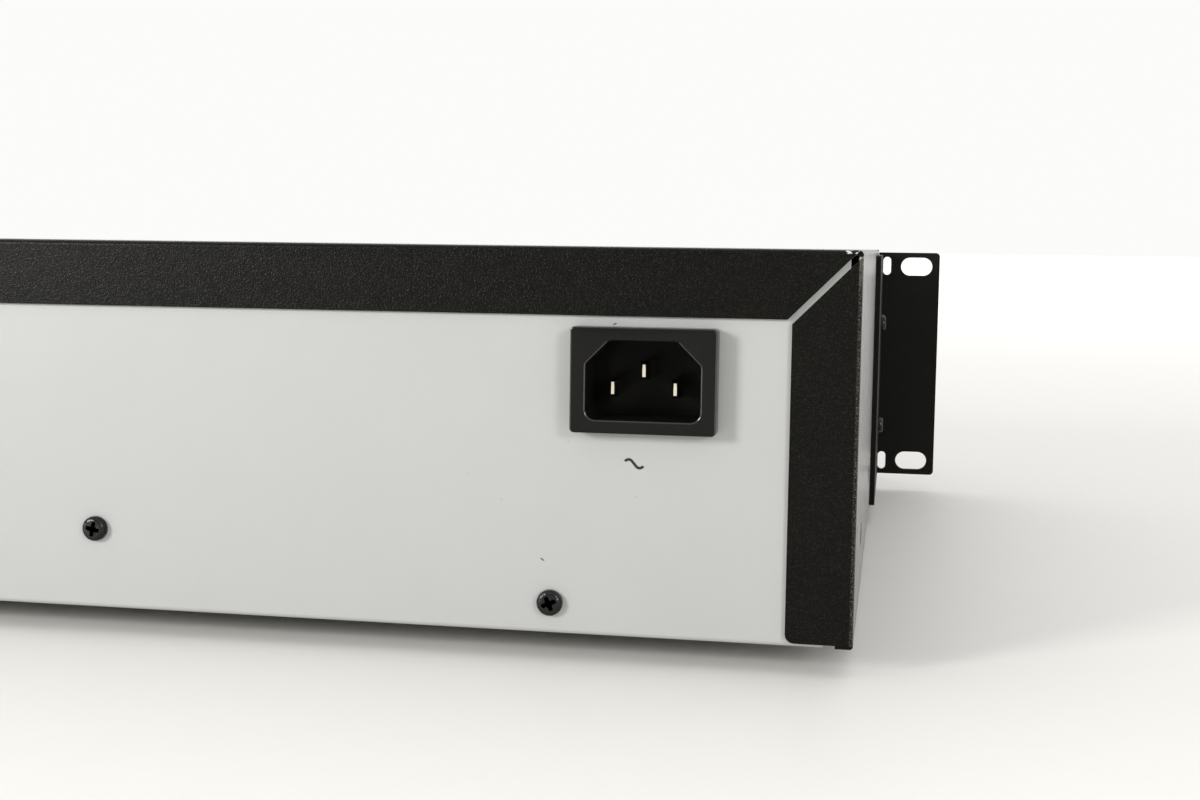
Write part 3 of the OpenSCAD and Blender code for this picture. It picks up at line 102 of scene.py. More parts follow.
def finish(name, colour, spread, rough, grain, metallic=0.0, stretch=(1.0, 1.0, 1.0), shine=0.5):
    """A material with blotched tone, uneven gloss and a fine grain.

    Its tone varies by a share of its colour, its roughness between two values, and its grain is given as
    waves per metre and a height.
    """
    blotches, gloss_patches = 70.0, 260.0
    material = bpy.data.materials.new(name)
    material.use_nodes = True
    tree = material.node_tree
    shader = tree.nodes["Principled BSDF"]
    shader.inputs["Metallic"].default_value = metallic
    shader.inputs["Specular IOR Level"].default_value = shine
    place = node(tree, "Mapping", Vector=object_place(tree), Scale=stretch).outputs["Vector"]
    low, high = ([c * (1 + side * spread) for c in colour] + [1.0] for side in (-1, 1))
    base = node(tree, "MixRGB", Fac=noise(tree, place, blotches, 5.0), Color1=low, Color2=high)
    gloss = ramp(tree, noise(tree, place, gloss_patches, 4.0), 0.3, 0.7, *rough)
    bump = node(tree, "Bump", Height=noise(tree, place, grain[0], 2.0), Distance=grain[1])
    tree.links.new(base.outputs["Color"], shader.inputs["Base Color"])
    tree.links.new(gloss, shader.inputs["Roughness"])
    tree.links.new(bump.outputs["Normal"], shader.inputs["Normal"])
    return material


def overlay(material, mask, colour):
    """Lays a colour over a material's base colour where the mask is white."""
    tree = material.node_tree
    base = tree.nodes["Principled BSDF"].inputs["Base Color"]
    under = base.links[0].from_socket
    over = node(tree, "MixRGB", Fac=mask, Color1=under, Color2=(*colour, 1.0))
    tree.links.new(over.outputs["Color"], base)


def cells(material, scale, low, high, share):
    """A mask from a cell pattern: white where the distance runs from low to high, on a share of the cells."""
    tree = material.node_tree
    pattern = node(tree, "TexVoronoi", Vector=object_place(tree), Scale=scale)
    mask = ramp(tree, pattern.outputs["Distance"], low, high)
    pick = node(tree, "SeparateColor", Color=pattern.outputs["Color"]).outputs["Red"]
    return calc(tree, "MULTIPLY", mask, calc(tree, "LESS_THAN", pick, share))


def dress(material, *names):
    """Gives CAD nodes a finish."""
    for name in names:
        frame["nodes"][name].material_slots[0].material = material


zinc_plate = finish(
    "zinc_plate", (0.56, 0.57, 0.57), 0.1, (0.3, 0.46), (1500.0, 0.000012),
    metallic=1.0, stretch=(0.15, 1.0, 1.0),
)
overlay(zinc_plate, cells(zinc_plate, 260.0, 0.9, 0.2, share=0.35), (0.66, 0.68, 0.7))
dress(zinc_plate, "chassis", "clamp_bridge")


# Feet
# Four moulded rubber feet, each with a tapered side and a well that takes its screw.
# Their edges are rounded, and the rubber is dull.


def new_piece(name, bm, material, body, sharp=35.0, sheet=0.0, edge=0.0, more=()):
    """Makes a bmesh an object that rides on a CAD body, as sheet of a thickness or with its edges broken."""
    least_fold = 38
    mesh = bpy.data.meshes.new(name)
    bm.to_mesh(mesh)
    bm.free()
    for finished in (material, *more):
        mesh.materials.append(finished)
    mesh.shade_smooth()
    mesh.set_sharp_from_angle(angle=math.radians(sharp))
    piece = bpy.data.objects.new(name, mesh)
    bpy.context.scene.collection.objects.link(piece)
    if sheet:
        walls = piece.modifiers.new("sheet", "SOLIDIFY")
        walls.thickness, walls.offset, walls.use_even_offset = sheet, -1, True
    if edge:
        broken = piece.modifiers.new("broken_edges", "BEVEL")
        broken.width, broken.segments, broken.limit_method = edge, 2, "ANGLE"
        broken.angle_limit = math.radians(least_fold)
    piece.modifiers.new("flats", "WEIGHTED_NORMAL").keep_sharp = True
    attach(piece, body)
    return piece


def facing(axis):
    """A matrix that turns an upright shape to face along an axis."""
    return Vector(axis).to_track_quat("Z", "Y").to_matrix().to_4x4()


def turn(bm, profile, axis, centre, steps=48):
    """Spins a profile, points of radius and height along the axis, into a closed ring or a solid."""
    place = Matrix.Translation(centre) @ facing(axis)
    verts = [bm.verts.new(place @ Vector((r, 0, h))) for r, h in profile]
    edges = [bm.edges.new(pair) for pair in zip(verts, verts[1:])]
    bmesh.ops.spin(
        bm, geom=verts + edges, cent=centre, axis=axis, angle=2 * math.pi, steps=steps, use_merge=True
    )


def close_up(bm):
    """Merges doubled points and turns every face outwards."""
    bmesh.ops.remove_doubles(bm, verts=bm.verts, dist=1e-6)
    bmesh.ops.recalc_face_normals(bm, faces=bm.faces)


def round_edges(bm, edges, radius, segments=3):
    """Rounds edges off with a bevel."""
    bmesh.ops.bevel(
        bm, geom=list(edges), offset=radius, segments=segments, profile=0.5, affect="EDGES", material=-1,
        clamp_overlap=True,
    )


def crisp(bm, angle=40.0):
    """The edges of a mesh that turn by more than an angle."""
    return [e for e in bm.edges if len(e.link_faces) == 2 and e.calc_face_angle(0) > math.radians(angle)]


foot_rubber = finish("foot_rubber", (0.012, 0.012, 0.012), 0.3, (0.7, 0.9), (1400.0, 0.00004))
foot_r, foot_taper, foot_hole_r, foot_well_r, foot_edge = 0.013, 0.0015, 0.0017, 0.005, 0.0005
foot_top, foot_well_top = 0.0077, 0.0047
foot_x, foot_front, foot_rear = 0.174, -0.079, 0.1
foot_places = [(x, y) for x in (-foot_x, foot_x) for y in (foot_front, foot_rear)]
foot_profile = [
    (foot_hole_r, foot_top), (foot_r, foot_top), (foot_r - foot_taper, 0), (foot_well_r, 0),
    (foot_well_r, foot_well_top), (foot_hole_r, foot_well_top), (foot_hole_r, foot_top),
]
bm = bmesh.new()
for x, y in foot_places:
    turn(bm, foot_profile, (0, 0, 1), (x, y, 0))
close_up(bm)
round_edges(bm, crisp(bm), foot_edge)
feet = new_piece("feet", bm, foot_rubber, "case")
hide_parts("foot_front_left", "foot_front_right", "foot_rear_left", "foot_rear_right")


# Screws
# Machine screws with a pressed cross recess, black oxide on the case and bright zinc under the feet.
# Those in the cover have flat heads flush with its sides, all others pan heads, and each its whole shank.

screw_head_r, screw_shank_r, screw_l, screw_tip = 0.003, 0.0015, 0.007, 0.0004
recess_arm, recess_half, recess_depth, recess_taper, recess_rim = 0.0017, 0.0005, 0.0015, 0.35, 0.00012
pan_h, pan_round, pan_steps = 0.0019, 0.0011, 6
flat_sink, flat_proud = 0.0015, 0.0001


def verts_of(geom):
    """The vertices among the parts that an operator made."""
    return [part for part in geom if isinstance(part, bmesh.types.BMVert)]


def edges_of(geom):
    """The edges among the parts that an operator made."""
    return [part for part in geom if isinstance(part, bmesh.types.BMEdge)]


def pull(bm, edges, move, scale=None, centre=Vector((0, 0, 0))):
    """Extrudes a loop of edges by a move, scales the new loop about a centre, and returns its edges."""
    made = bmesh.ops.extrude_edge_only(bm, edges=edges)["geom"]
    verts = verts_of(made)
    if scale:
        bmesh.ops.scale(bm, verts=verts, vec=scale, space=Matrix.Translation(-centre))
    bmesh.ops.translate(bm, verts=verts, vec=move)
    near = set(verts)
    return [e for e in edges_of(made) if set(e.verts) <= near]


def screw_form(name, head):
    """A screw seated at the origin: a shank, the profile of a head up to its flat top, and a recess."""
    bm = bmesh.new()
    shank = [(0, -screw_l), (screw_shank_r, screw_tip - screw_l)]
    turn(bm, shank + head, (0, 0, 1), (0, 0, 0), steps=24)
    bmesh.ops.remove_doubles(bm, verts=bm.verts, dist=1e-6)
    rim = [e for e in bm.edges if e.is_boundary]
    quarter = [(recess_half, recess_half), (recess_half, recess_arm), (-recess_half, recess_arm)]
    cross = [Matrix.Rotation(math.radians(90 * i), 2) @ Vector(p) for i in range(4) for p in quarter]
    plus = bm.faces.new([bm.verts.new((*p, head[-1][1])) for p in cross])
    outline = list(plus.edges)
    bmesh.ops.delete(bm, geom=[plus], context="FACES_ONLY")
    cut = bmesh.ops.subdivide_edges(bm, edges=outline, cuts=1)["geom"]
    outline = list(dict.fromkeys(e for e in outline + edges_of(cut) if e.is_valid))
    bmesh.ops.bridge_loops(bm, edges=rim + outline)
    floor_edge = pull(bm, outline, (0, 0, -recess_depth), (recess_taper, recess_taper, 1))
    bmesh.ops.holes_fill(bm, edges=floor_edge, sides=0)
    close_up(bm)
    round_edges(bm, [e for e in outline if e.is_valid], recess_rim, 2)
    form = bpy.data.meshes.new(name)
    bm.to_mesh(form)
    bm.free()
    return form


def add_mesh(bm, mesh, place):
    """Adds a copy of a mesh, put in its place by a matrix."""
    first = len(bm.verts)
    bm.from_mesh(mesh)
    bm.verts.ensure_lookup_table()
    bmesh.ops.transform(bm, matrix=place, verts=bm.verts[first:])


def screw_set(name, form, places, direction, turns, material):
    """Screws of one node, each at its seat, its head facing a direction and its recess turned by a given
    angle.
    """
    bm = bmesh.new()
    for place, angle in zip(places, turns):
        spun = Matrix.Rotation(math.radians(angle), 4, "Z")
        add_mesh(bm, form, Matrix.Translation(place) @ facing(direction(place)) @ spun)
    screws = new_piece(name + "_pieces", bm, material, "case", sharp=50.0)
    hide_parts(name)


pan_arc = [math.radians(90 * i / pan_steps) for i in range(pan_steps + 1)]
pan_head = screw_form("pan_head_screw", [(screw_shank_r, 0), (screw_head_r, 0)] + [
    (screw_head_r - pan_round * (1 - math.cos(angle)), pan_h - pan_round * (1 - math.sin(angle)))
    for angle in pan_arc
])
flat_head = screw_form("flat_head_screw", [
    (screw_shank_r, -flat_sink), (screw_head_r, -flat_proud), (screw_head_r, 0),
    (screw_head_r - flat_proud, flat_proud), (screw_head_r - pan_round, flat_proud),
])
black_oxide = finish("black_oxide", (0.032, 0.033, 0.033), 0.5, (0.16, 0.36), (2200.0, 0.00009), metallic=1.0)
zinc_screw = finish("zinc_screw", (0.5, 0.5, 0.49), 0.15, (0.28, 0.4), (2600.0, 0.00002), metallic=1.0)
screw_set(
    "foot_screws", pan_head, [(x, y, foot_well_top) for x, y in foot_places],
    lambda place: (0, 0, -1), (12, 70, 33, 51), zinc_screw,
)
cover_hw, cover_screw_ys, cover_screw_z = 0.218, (0.092, -0.018), 0.0225
screw_set(
    "cover_screws", flat_head, [(x, y, cover_screw_z) for x in (-cover_hw, cover_hw) for y in cover_screw_ys],
    lambda place: (place[0], 0, 0), (20, 64, 5, 38), black_oxide,
)
ear_side, ear_screw_y, ear_screw_zs = 0.2197, -0.105, (0.0295, 0.0675)
screw_set(
    "ear_screws", pan_head, [(x, ear_screw_y, z) for x in (-ear_side, ear_side) for z in ear_screw_zs],
    lambda place: (place[0], 0, 0), (41, 8, 57, 25), black_oxide,
)
panel_y, panel_low, jacks_high = 0.15, 0.0137, 0.0339
rear_screw_places = [
    (-0.1496, panel_low), (-0.0383, 0.0258), (0.06, panel_low), (0.1496, panel_low),
    (0.17, jacks_high), (0.118, jacks_high),
]
screw_set(
    "rear_screws", pan_head, [(x, panel_y, z) for x, z in rear_screw_places],
    lambda place: (0, 1, 0), (24, 78, 50, 11, 66, 35), black_oxide,
)


# Rear panel
# Sheet steel with a smooth light grey paint, folded under the chassis at its foot.
# The paint has a slight orange peel, a few specks, faint hand marks and two small nicks.

panel_paint = finish("panel_paint", (0.37, 0.379, 0.372), 0.018, (0.4, 0.52), (700.0, 0.000012))
overlay(panel_paint, cells(panel_paint, 130.0, 0.05, 0.025, share=0.1), (0.33, 0.33, 0.31))
overlay(panel_paint, cells(panel_paint, 42.0, 0.014, 0.007, share=0.12), (0.1, 0.1, 0.09))
tree = panel_paint.node_tree
hand_marks = ramp(tree, noise(tree, object_place(tree), 24.0, 8.0), 0.56, 0.8, end=0.35)
overlay(panel_paint, hand_marks, (0.347, 0.352, 0.343))
nick_depth = 0.001
for x, z, slope, length, width in (
    (-0.1477, 0.0235, -35, 0.0007, 0.00024), (-0.1637, 0.0774, 25, 0.0006, 0.00022),
):
    nick = node(
        tree, "Mapping", {"vector_type": "TEXTURE"}, Vector=object_place(tree),
        Location=(x, panel_y, z), Rotation=(0, math.radians(slope), 0), Scale=(length, nick_depth, width),
    ).outputs["Vector"]
    away = node(tree, "VectorMath", {"operation": "LENGTH"}, in0=nick).outputs["Value"]
    overlay(panel_paint, ramp(tree, away, 1.0, 0.6, end=0.9), (0.05, 0.045, 0.04))
dress(panel_paint, "rear_panel")


# Mark under the inlet
# A plain wave for alternating current, screen-printed in black on the rear panel.
# It is two arcs of one thin film of ink.


def thicken(bm, move):
    """Gives flat shapes the thickness of a film of ink."""
    raised = bmesh.ops.extrude_face_region(bm, geom=list(bm.faces))["geom"]
    bmesh.ops.translate(bm, verts=verts_of(raised), vec=move)
    bmesh.ops.recalc_face_normals(bm, faces=bm.faces)


ink_black = finish("ink_black", (0.005, 0.005, 0.005), 0.2, (0.5, 0.62), (3000.0, 0.000006))
wave_x, wave_z, wave_r, wave_line, wave_rise, ink = -0.1685, 0.0462, 0.00095, 0.00062, 0.0012, 0.00004
wave_slope, wave_tail, wave_steps = math.radians(50), math.radians(60), 14
half = Vector((wave_rise / math.tan(wave_slope), 0, -wave_rise)) / 2
bow = wave_r * Vector((math.sin(wave_slope), 0, math.cos(wave_slope)))
crest, trough, swing = -half - bow, half + bow, wave_tail + wave_slope
bm = bmesh.new()
lean = Matrix.Rotation(-wave_tail, 4, "Y")
ends = [bm.verts.new(crest + lean @ Vector((0, 0, wave_r + side * wave_line / 2))) for side in (-1, 1)]
ends.append(bm.edges.new(ends))
ends = bmesh.ops.spin(bm, geom=ends, cent=crest, axis=(0, 1, 0), angle=swing, steps=wave_steps)["geom_last"]
stroke = pull(bm, edges_of(ends), 2 * half)
ends = [*stroke[0].verts, *stroke]
bmesh.ops.spin(bm, geom=ends, cent=trough, axis=(0, 1, 0), angle=-swing, steps=wave_steps)
mirrored = Matrix.Translation((wave_x, panel_y, wave_z)) @ Matrix.Diagonal((-1, 1, 1, 1))
bmesh.ops.transform(bm, matrix=mirrored, verts=bm.verts)
thicken(bm, (0, ink, 0))
new_piece("wave_mark", bm, ink_black, "case")


# Mains inlet
# Moulded black housing pressed into the rear panel, with a deep socket whose upper corners are slanted.
# Three plated blades stand in it, the earth blade higher and in the middle, each with a wedge for a tip.

inlet_face, inlet_rim, inlet_well = (
    finish(name, (grey, grey, 0.85 * grey), 0.16, (0.12, 0.2), (1900.0, 0.000006), shine=shine)
    for name, grey, shine in (
        ("inlet_face", 0.0045, 0.15), ("inlet_rim", 0.005, 0.8), ("inlet_well", 0.007, 0.03),
    )
)
inlet_centre = Vector((-0.1708, 0.1545, 0.0651))
inlet_w, inlet_h, inlet_proud, inlet_corner, inlet_round = 0.0327, 0.0236, 0.0045, 0.001, 0.0003
socket_w, socket_h, socket_d, socket_slant = 0.0256, 0.0176, 0.016, 0.0053
socket_corner, slant_corner, socket_round = 0.0022, 0.0005, 0.0004
inlet_wall, inlet_floor = 0.0014, 0.004
rim_d, well_d, hair = 0.0005, 0.0003, 1e-5
rim_slot, well_slot = 1, 2


def round_corners(bm, verts, radius, segments):
    """Rounds the corners of a flat shape."""
    bmesh.ops.bevel(
        bm, geom=verts, offset=radius, segments=segments, profile=0.5, affect="VERTICES", material=-1
    )


def rectangle(x, z, w, h):
    """The corners of a rectangle about a middle."""
    return [(x - w / 2, z - h / 2), (x + w / 2, z - h / 2), (x + w / 2, z + h / 2), (x - w / 2, z + h / 2)]


def outline_loop(bm, points, centre, rounds):
    """The edges of an outline that faces the rear, from points about a centre, each with its radius."""
    verts = [bm.verts.new(centre + Vector((x, 0, z))) for x, z in points]
    bm.faces.new(verts)
    for vert, radius in zip(verts, rounds):
        round_corners(bm, [vert], radius, 5)
    face = next(iter(bm.faces))
    edges = list(face.edges)
    bmesh.ops.delete(bm, geom=[face], context="FACES_ONLY")
    return edges


bm = bmesh.new()
outer_rim = outline_loop(bm, rectangle(0, 0, inlet_w, inlet_h), inlet_centre, [inlet_corner] * 4)
half_w, half_h = socket_w / 2, socket_h / 2
slant_x, slant_z = half_w - socket_slant, half_h - socket_slant
socket_points = [
    (-half_w, -half_h), (half_w, -half_h), (half_w, slant_z),
    (slant_x, half_h), (-slant_x, half_h), (-half_w, slant_z),
]
inner_rim = outline_loop(bm, socket_points, inlet_centre, [socket_corner] * 2 + [slant_corner] * 4)
bmesh.ops.bridge_loops(bm, edges=outer_rim + inner_rim)
side_edge = pull(bm, outer_rim, (0, -inlet_proud, 0))
neck = ((socket_w + 2 * inlet_wall) / inlet_w, 1, (socket_h + 2 * inlet_wall) / inlet_h)
back_edge = pull(bm, side_edge, (0, 0, 0), neck, inlet_centre)
back_edge = pull(bm, back_edge, (0, inlet_proud - socket_d - inlet_floor, 0))
bmesh.ops.holes_fill(bm, edges=back_edge, sides=0)
socket_edge = pull(bm, inner_rim, (0, -socket_d, 0))
bmesh.ops.holes_fill(bm, edges=socket_edge, sides=0)
close_up(bm)
round_edges(bm, [e for e in outer_rim if e.is_valid], inlet_round)
round_edges(bm, [e for e in inner_rim if e.is_valid], socket_round)
for face in bm.faces:
    place = face.calc_center_median() - inlet_centre
    rounded = 0.1 < face.normal.y < 0.97 and place.y > -rim_d
    within = abs(place.x) < half_w + hair and abs(place.z) < half_h + hair
    if rounded and face.normal.z > -0.2:
        face.material_index = rim_slot
    elif within and place.y < -well_d:
        face.material_index = well_slot
inlet = new_piece(
    "inlet", bm, inlet_face, "case", sharp=30.0, more=(inlet_rim, inlet_well)
)
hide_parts("inlet_housing")

nickel = finish("nickel", (0.64, 0.59, 0.49), 0.12, (0.07, 0.15), (2200.0, 0.000006), metallic=1.0)
blade_t, blade_h, blade_front, blade_back, blade_edge = 0.002, 0.004, 0.1525, 0.1275, 0.00012
tip_t, tip_h, tip_l = 0.00072, 0.0028, 0.0018
blade_x, blade_low, earth_high = 0.007, -0.0018, 0.0022
bm = bmesh.new()
for x, z in ((-blade_x, blade_low), (0, earth_high), (blade_x, blade_low)):
    middle = (inlet_centre.x + x, (blade_front + blade_back) / 2, inlet_centre.z + z)
    size = Matrix.Diagonal((blade_t, blade_front - blade_back, blade_h, 1))
    bmesh.ops.create_cube(bm, size=1, matrix=Matrix.Translation(middle) @ size)
tips = [f for f in bm.faces if f.normal.y > 0.9]
corners = {v for f in tips for v in f.verts}
side_in = (blade_t - tip_t) / 2
bmesh.ops.inset_individual(bm, faces=tips, thickness=side_in, use_even_offset=True)
bmesh.ops.translate(bm, verts=list(corners), vec=(0, -tip_l, 0))
for tip in tips:
    about = Matrix.Translation(-tip.calc_center_median())
    bmesh.ops.scale(bm, verts=tip.verts, vec=(1, 1, tip_h / (blade_h - 2 * side_in)), space=about)
round_edges(bm, crisp(bm, 30.0), blade_edge)
blades = new_piece("inlet_blades", bm, nickel, "case", sharp=20.0)
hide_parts("inlet_pins")


# Audio and digital jacks
# Black moulded blocks on the main board, each jack with a colour ring and a plated sleeve through the panel.
# White and red rings mark the two analog channels, and orange the digital jacks.


def from_cad(name, source, material, edge):
    """A copy of a CAD node with its points merged and its edges broken, which stands for that node."""
    part = frame["nodes"][source]
    bm = bmesh.new()
    bm.from_mesh(part.data)
    bmesh.ops.remove_doubles(bm, verts=bm.verts, dist=1e-6)
    bmesh.ops.dissolve_limit(bm, angle_limit=math.radians(1), verts=bm.verts, edges=bm.edges)
    piece = new_piece(name, bm, material, part["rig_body"], edge=edge)
    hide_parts(source)


jack_plastic = finish("jack_plastic", (0.014, 0.014, 0.014), 0.2, (0.38, 0.5), (1700.0, 0.00002))
from_cad("analog_jacks", "analog_jack_block", jack_plastic, edge=0.00025)
from_cad("digital_jacks", "coax_jack_block", jack_plastic, edge=0.00025)
gold_plate = finish("gold_plate", (0.86, 0.64, 0.3), 0.08, (0.14, 0.28), (2600.0, 0.000008), metallic=1.0)
from_cad("sleeves", "jack_sleeves", gold_plate, edge=0.00012)
ring_in, ring_out, ring_h, ring_edge = 0.00425, 0.00535, 0.00168, 0.0002
ring_low, ring_high, analog_xs, digital_x = 0.0265, 0.0415, (0.158, 0.182), 0.13
ring_profile = [(ring_in, 0), (ring_out, 0), (ring_out, ring_h), (ring_in, ring_h), (ring_in, 0)]
for name, colour, places in (
    ("rings_white", (0.72, 0.71, 0.67), [(x, ring_high) for x in analog_xs]),
    ("rings_red", (0.5, 0.022, 0.018), [(x, ring_low) for x in analog_xs]),
    ("rings_orange", (0.62, 0.19, 0.015), [(digital_x, ring_low), (digital_x, ring_high)]),
):
    bm = bmesh.new()
    for x, z in places:
        turn(bm, ring_profile, (0, 1, 0), (x, panel_y, z))
    close_up(bm)
    round_edges(bm, crisp(bm), ring_edge)
    new_piece(name, bm, finish(name, colour, 0.05, (0.35, 0.45), (1800.0, 0.00001)), "case")


# Optical sockets
# Two square moulded sockets for digital light pipes, standing on the main board behind the panel.
# Their rims show through the panel, and their wells are dull black.

from_cad("light_in", "optical_input", jack_plastic, edge=0.0002)
from_cad("light_out", "optical_output", jack_plastic, edge=0.0002)


# Boards, transformer and ribbon
# Green and brown circuit boards with their parts soldered on, a wound transformer and a flat ribbon.
# The boards stand on the chassis posts. Copper tracks show faintly through the lacquer.


def board(name, colour, track):
    """Lacquered board with a maze of copper tracks and solder points."""
    material = finish(name, colour, 0.12, (0.3, 0.46), (1300.0, 0.00001))
    tree = material.node_tree
    black, white = (0, 0, 0, 1), (1, 1, 1, 1)
    maze = node(
        tree, "TexBrick", Vector=object_place(tree), Scale=240.0, Color1=black, Color2=black, Mortar=white
    )
    overlay(material, maze.outputs["Color"], track)
    overlay(material, cells(material, 420.0, 0.16, 0.1, share=0.5), (0.42, 0.42, 0.4))
    return material


def above(material, height, colour):
    """Colours what stands higher than a height, such as the parts on a board."""
    tree = material.node_tree
    level = node(tree, "SeparateXYZ", Vector=object_place(tree)).outputs["Z"]
    overlay(material, ramp(tree, level, height - hair, height + hair), colour)


parts_level = 0.01855
green, green_track = (0.012, 0.075, 0.03), (0.03, 0.13, 0.05)
brown, brown_track = (0.16, 0.085, 0.03), (0.24, 0.13, 0.05)
board_green = board("board_green", green, green_track)
above(board_green, parts_level, (0.02, 0.02, 0.021))
dress(board_green, "main_board")
dress(board("board_front", green, green_track), "front_board")
board_brown = board("board_brown", brown, brown_track)
above(board_brown, parts_level, (0.025, 0.025, 0.027))
dress(board_brown, "power_board")
winding = finish(
    "winding", (0.42, 0.16, 0.05), 0.25, (0.25, 0.4), (900.0, 0.00012), metallic=0.6, stretch=(1.0, 1.0, 8.0)
)
dress(winding, "power_transformer")
ribbon = finish("ribbon", (0.5, 0.5, 0.48), 0.06, (0.4, 0.5), (1200.0, 0.00004), stretch=(8.0, 1.0, 1.0))
dress(ribbon, "front_ribbon")


# Disc loader
# Glass-filled dark plastic frame with nylon gears, a rubber belt, and steel motors and rails.
# Its traverse carries the turntable and the pickup on a die-cast sled.

loader_plastic = finish("loader_plastic", (0.05, 0.052, 0.055), 0.15, (0.45, 0.6), (1500.0, 0.00003))
dress(loader_plastic, "loader_frame", "traverse_frame")
gear_nylon = finish("gear_nylon", (0.66, 0.63, 0.54), 0.06, (0.38, 0.5), (1400.0, 0.00001))
dress(gear_nylon, "tray_gear", "pulley_gear", "motor_pulley", "clamper")
belt_rubber = finish("belt_rubber", (0.01, 0.01, 0.01), 0.2, (0.7, 0.85), (1600.0, 0.00002))
dress(belt_rubber, "loading_belt")
motor_steel = finish(
    "motor_steel", (0.55, 0.55, 0.54), 0.08, (0.2, 0.34), (1800.0, 0.00001),
    metallic=1.0, stretch=(1.0, 1.0, 0.2),
)
dress(motor_steel, "loading_motor", "traverse_motors", "sled_rails", "sled_screw")
sled_metal = finish("sled_metal", (0.32, 0.33, 0.34), 0.12, (0.35, 0.5), (900.0, 0.00004), metallic=1.0)
dress(sled_metal, "pickup_sled")
turntable_rubber = finish("turntable_rubber", (0.013, 0.013, 0.013), 0.2, (0.5, 0.65), (1500.0, 0.00002))
dress(turntable_rubber, "turntable")
tray_plastic = finish("tray_plastic", (0.016, 0.016, 0.017), 0.18, (0.42, 0.56), (2000.0, 0.00004))
from_cad("tray", "disc_tray", tray_plastic, edge=0.0003)


# Front panel, tray front, window and display
# One black moulding with an opening for each control, the tray's own front, and a tinted acrylic window.
# The display behind the window is dark, as on a recorder that is off.

front_plastic = finish("front_plastic", (0.013, 0.013, 0.0125), 0.16, (0.34, 0.46), (1500.0, 0.00003))
from_cad("face", "front_panel", front_plastic, edge=0.0005)
from_cad("tray_door", "tray_front", front_plastic, edge=0.0006)
window_tint = finish("window_tint", (0.006, 0.008, 0.009), 0.1, (0.03, 0.07), (200.0, 0.000002))
from_cad("window", "display_window", window_tint, edge=0.0003)
display_glass = finish("display_glass", (0.012, 0.03, 0.028), 0.15, (0.05, 0.1), (900.0, 0.000002))
dress(display_glass, "display_module")


# Keys
# Moulded caps held behind the face by a flange, with a satin top and a rounded rim.
# Each has a plain symbol printed in white. The record key's dot is red.

key_plastic = finish("key_plastic", (0.042, 0.042, 0.04), 0.12, (0.36, 0.48), (2200.0, 0.00002))
ink_white = finish("ink_white", (0.7, 0.7, 0.67), 0.05, (0.5, 0.6), (3000.0, 0.000004))
ink_red = finish("ink_red", (0.5, 0.02, 0.015), 0.05, (0.5, 0.6), (3000.0, 0.000004))
key_front, key_rear, key_rim = -0.1472, -0.14015, 0.0005
key_flange_t, key_flange, key_corner = 0.0015, 0.00135, 0.0012


def film(name, shapes, y, material, body):
    """Printed shapes, each a ring of x and z points, as films of ink on a surface that faces the front."""
    bm = bmesh.new()
    for shape in shapes:
        bm.faces.new([bm.verts.new((x, y, z)) for x, z in shape])
    thicken(bm, (0, -ink, 0))
    new_piece(name, bm, material, body)


def arrow(x, z, size, turned=0.0):
    """A triangle that points right, turned anticlockwise by an angle."""
    spin = Matrix.Rotation(math.radians(turned), 2)
    return [tuple(Vector((x, z)) + spin @ Vector(p) * size) for p in ((0.5, 0), (-0.4, 0.5), (-0.4, -0.5))]


def disc(x, z, r, steps=32):
    """A round dot."""
    angles = [i * 2 * math.pi / steps for i in range(steps)]
    return [(x + r * math.cos(angle), z + r * math.sin(angle)) for angle in angles]


def key_cap(name, x, z, w, h):
    """One key: a flange with a crown raised from it, its corners and rim rounded."""
    bm = bmesh.new()
    size = Matrix.Diagonal((w + 2 * key_flange, key_flange_t, h + 2 * key_flange, 1))
    bmesh.ops.create_cube(bm, size=1, matrix=Matrix.Translation((x, key_rear - key_flange_t / 2, z)) @ size)
    along = [e for e in bm.edges if abs(e.verts[0].co.y - e.verts[1].co.y) > key_flange_t / 2]
    round_edges(bm, along, key_corner + key_flange, 5)
    front = [f for f in bm.faces if f.normal.y < -0.9]
    bmesh.ops.inset_region(bm, faces=front, thickness=key_flange, use_even_offset=True)
    crown = bmesh.ops.extrude_face_region(bm, geom=front)["geom"]
    bmesh.ops.delete(bm, geom=front, context="FACES_ONLY")
    bmesh.ops.translate(bm, verts=verts_of(crown), vec=(0, key_front - key_rear + key_flange_t, 0))
    bmesh.ops.recalc_face_normals(bm, faces=bm.faces)
    round_edges(bm, edges_of(crown), key_rim, 4)
    cap = new_piece(name + "_cap", bm, key_plastic, name, sharp=40.0)
    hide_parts(name)


def key_row(marks, z, w, h, symbol):
    """A row of keys, each at its x, with a symbol whose shapes are drawn at a size of 1 about the middle."""
    for name, (x, shapes) in marks.items():
        key_cap(name, x, z, w, h)
        placed = [[(x + symbol * across, z + symbol * up) for across, up in shape] for shape in shapes]
        film(name + "_symbol", placed, key_front, ink_red if name == "record_key" else ink_white, name)


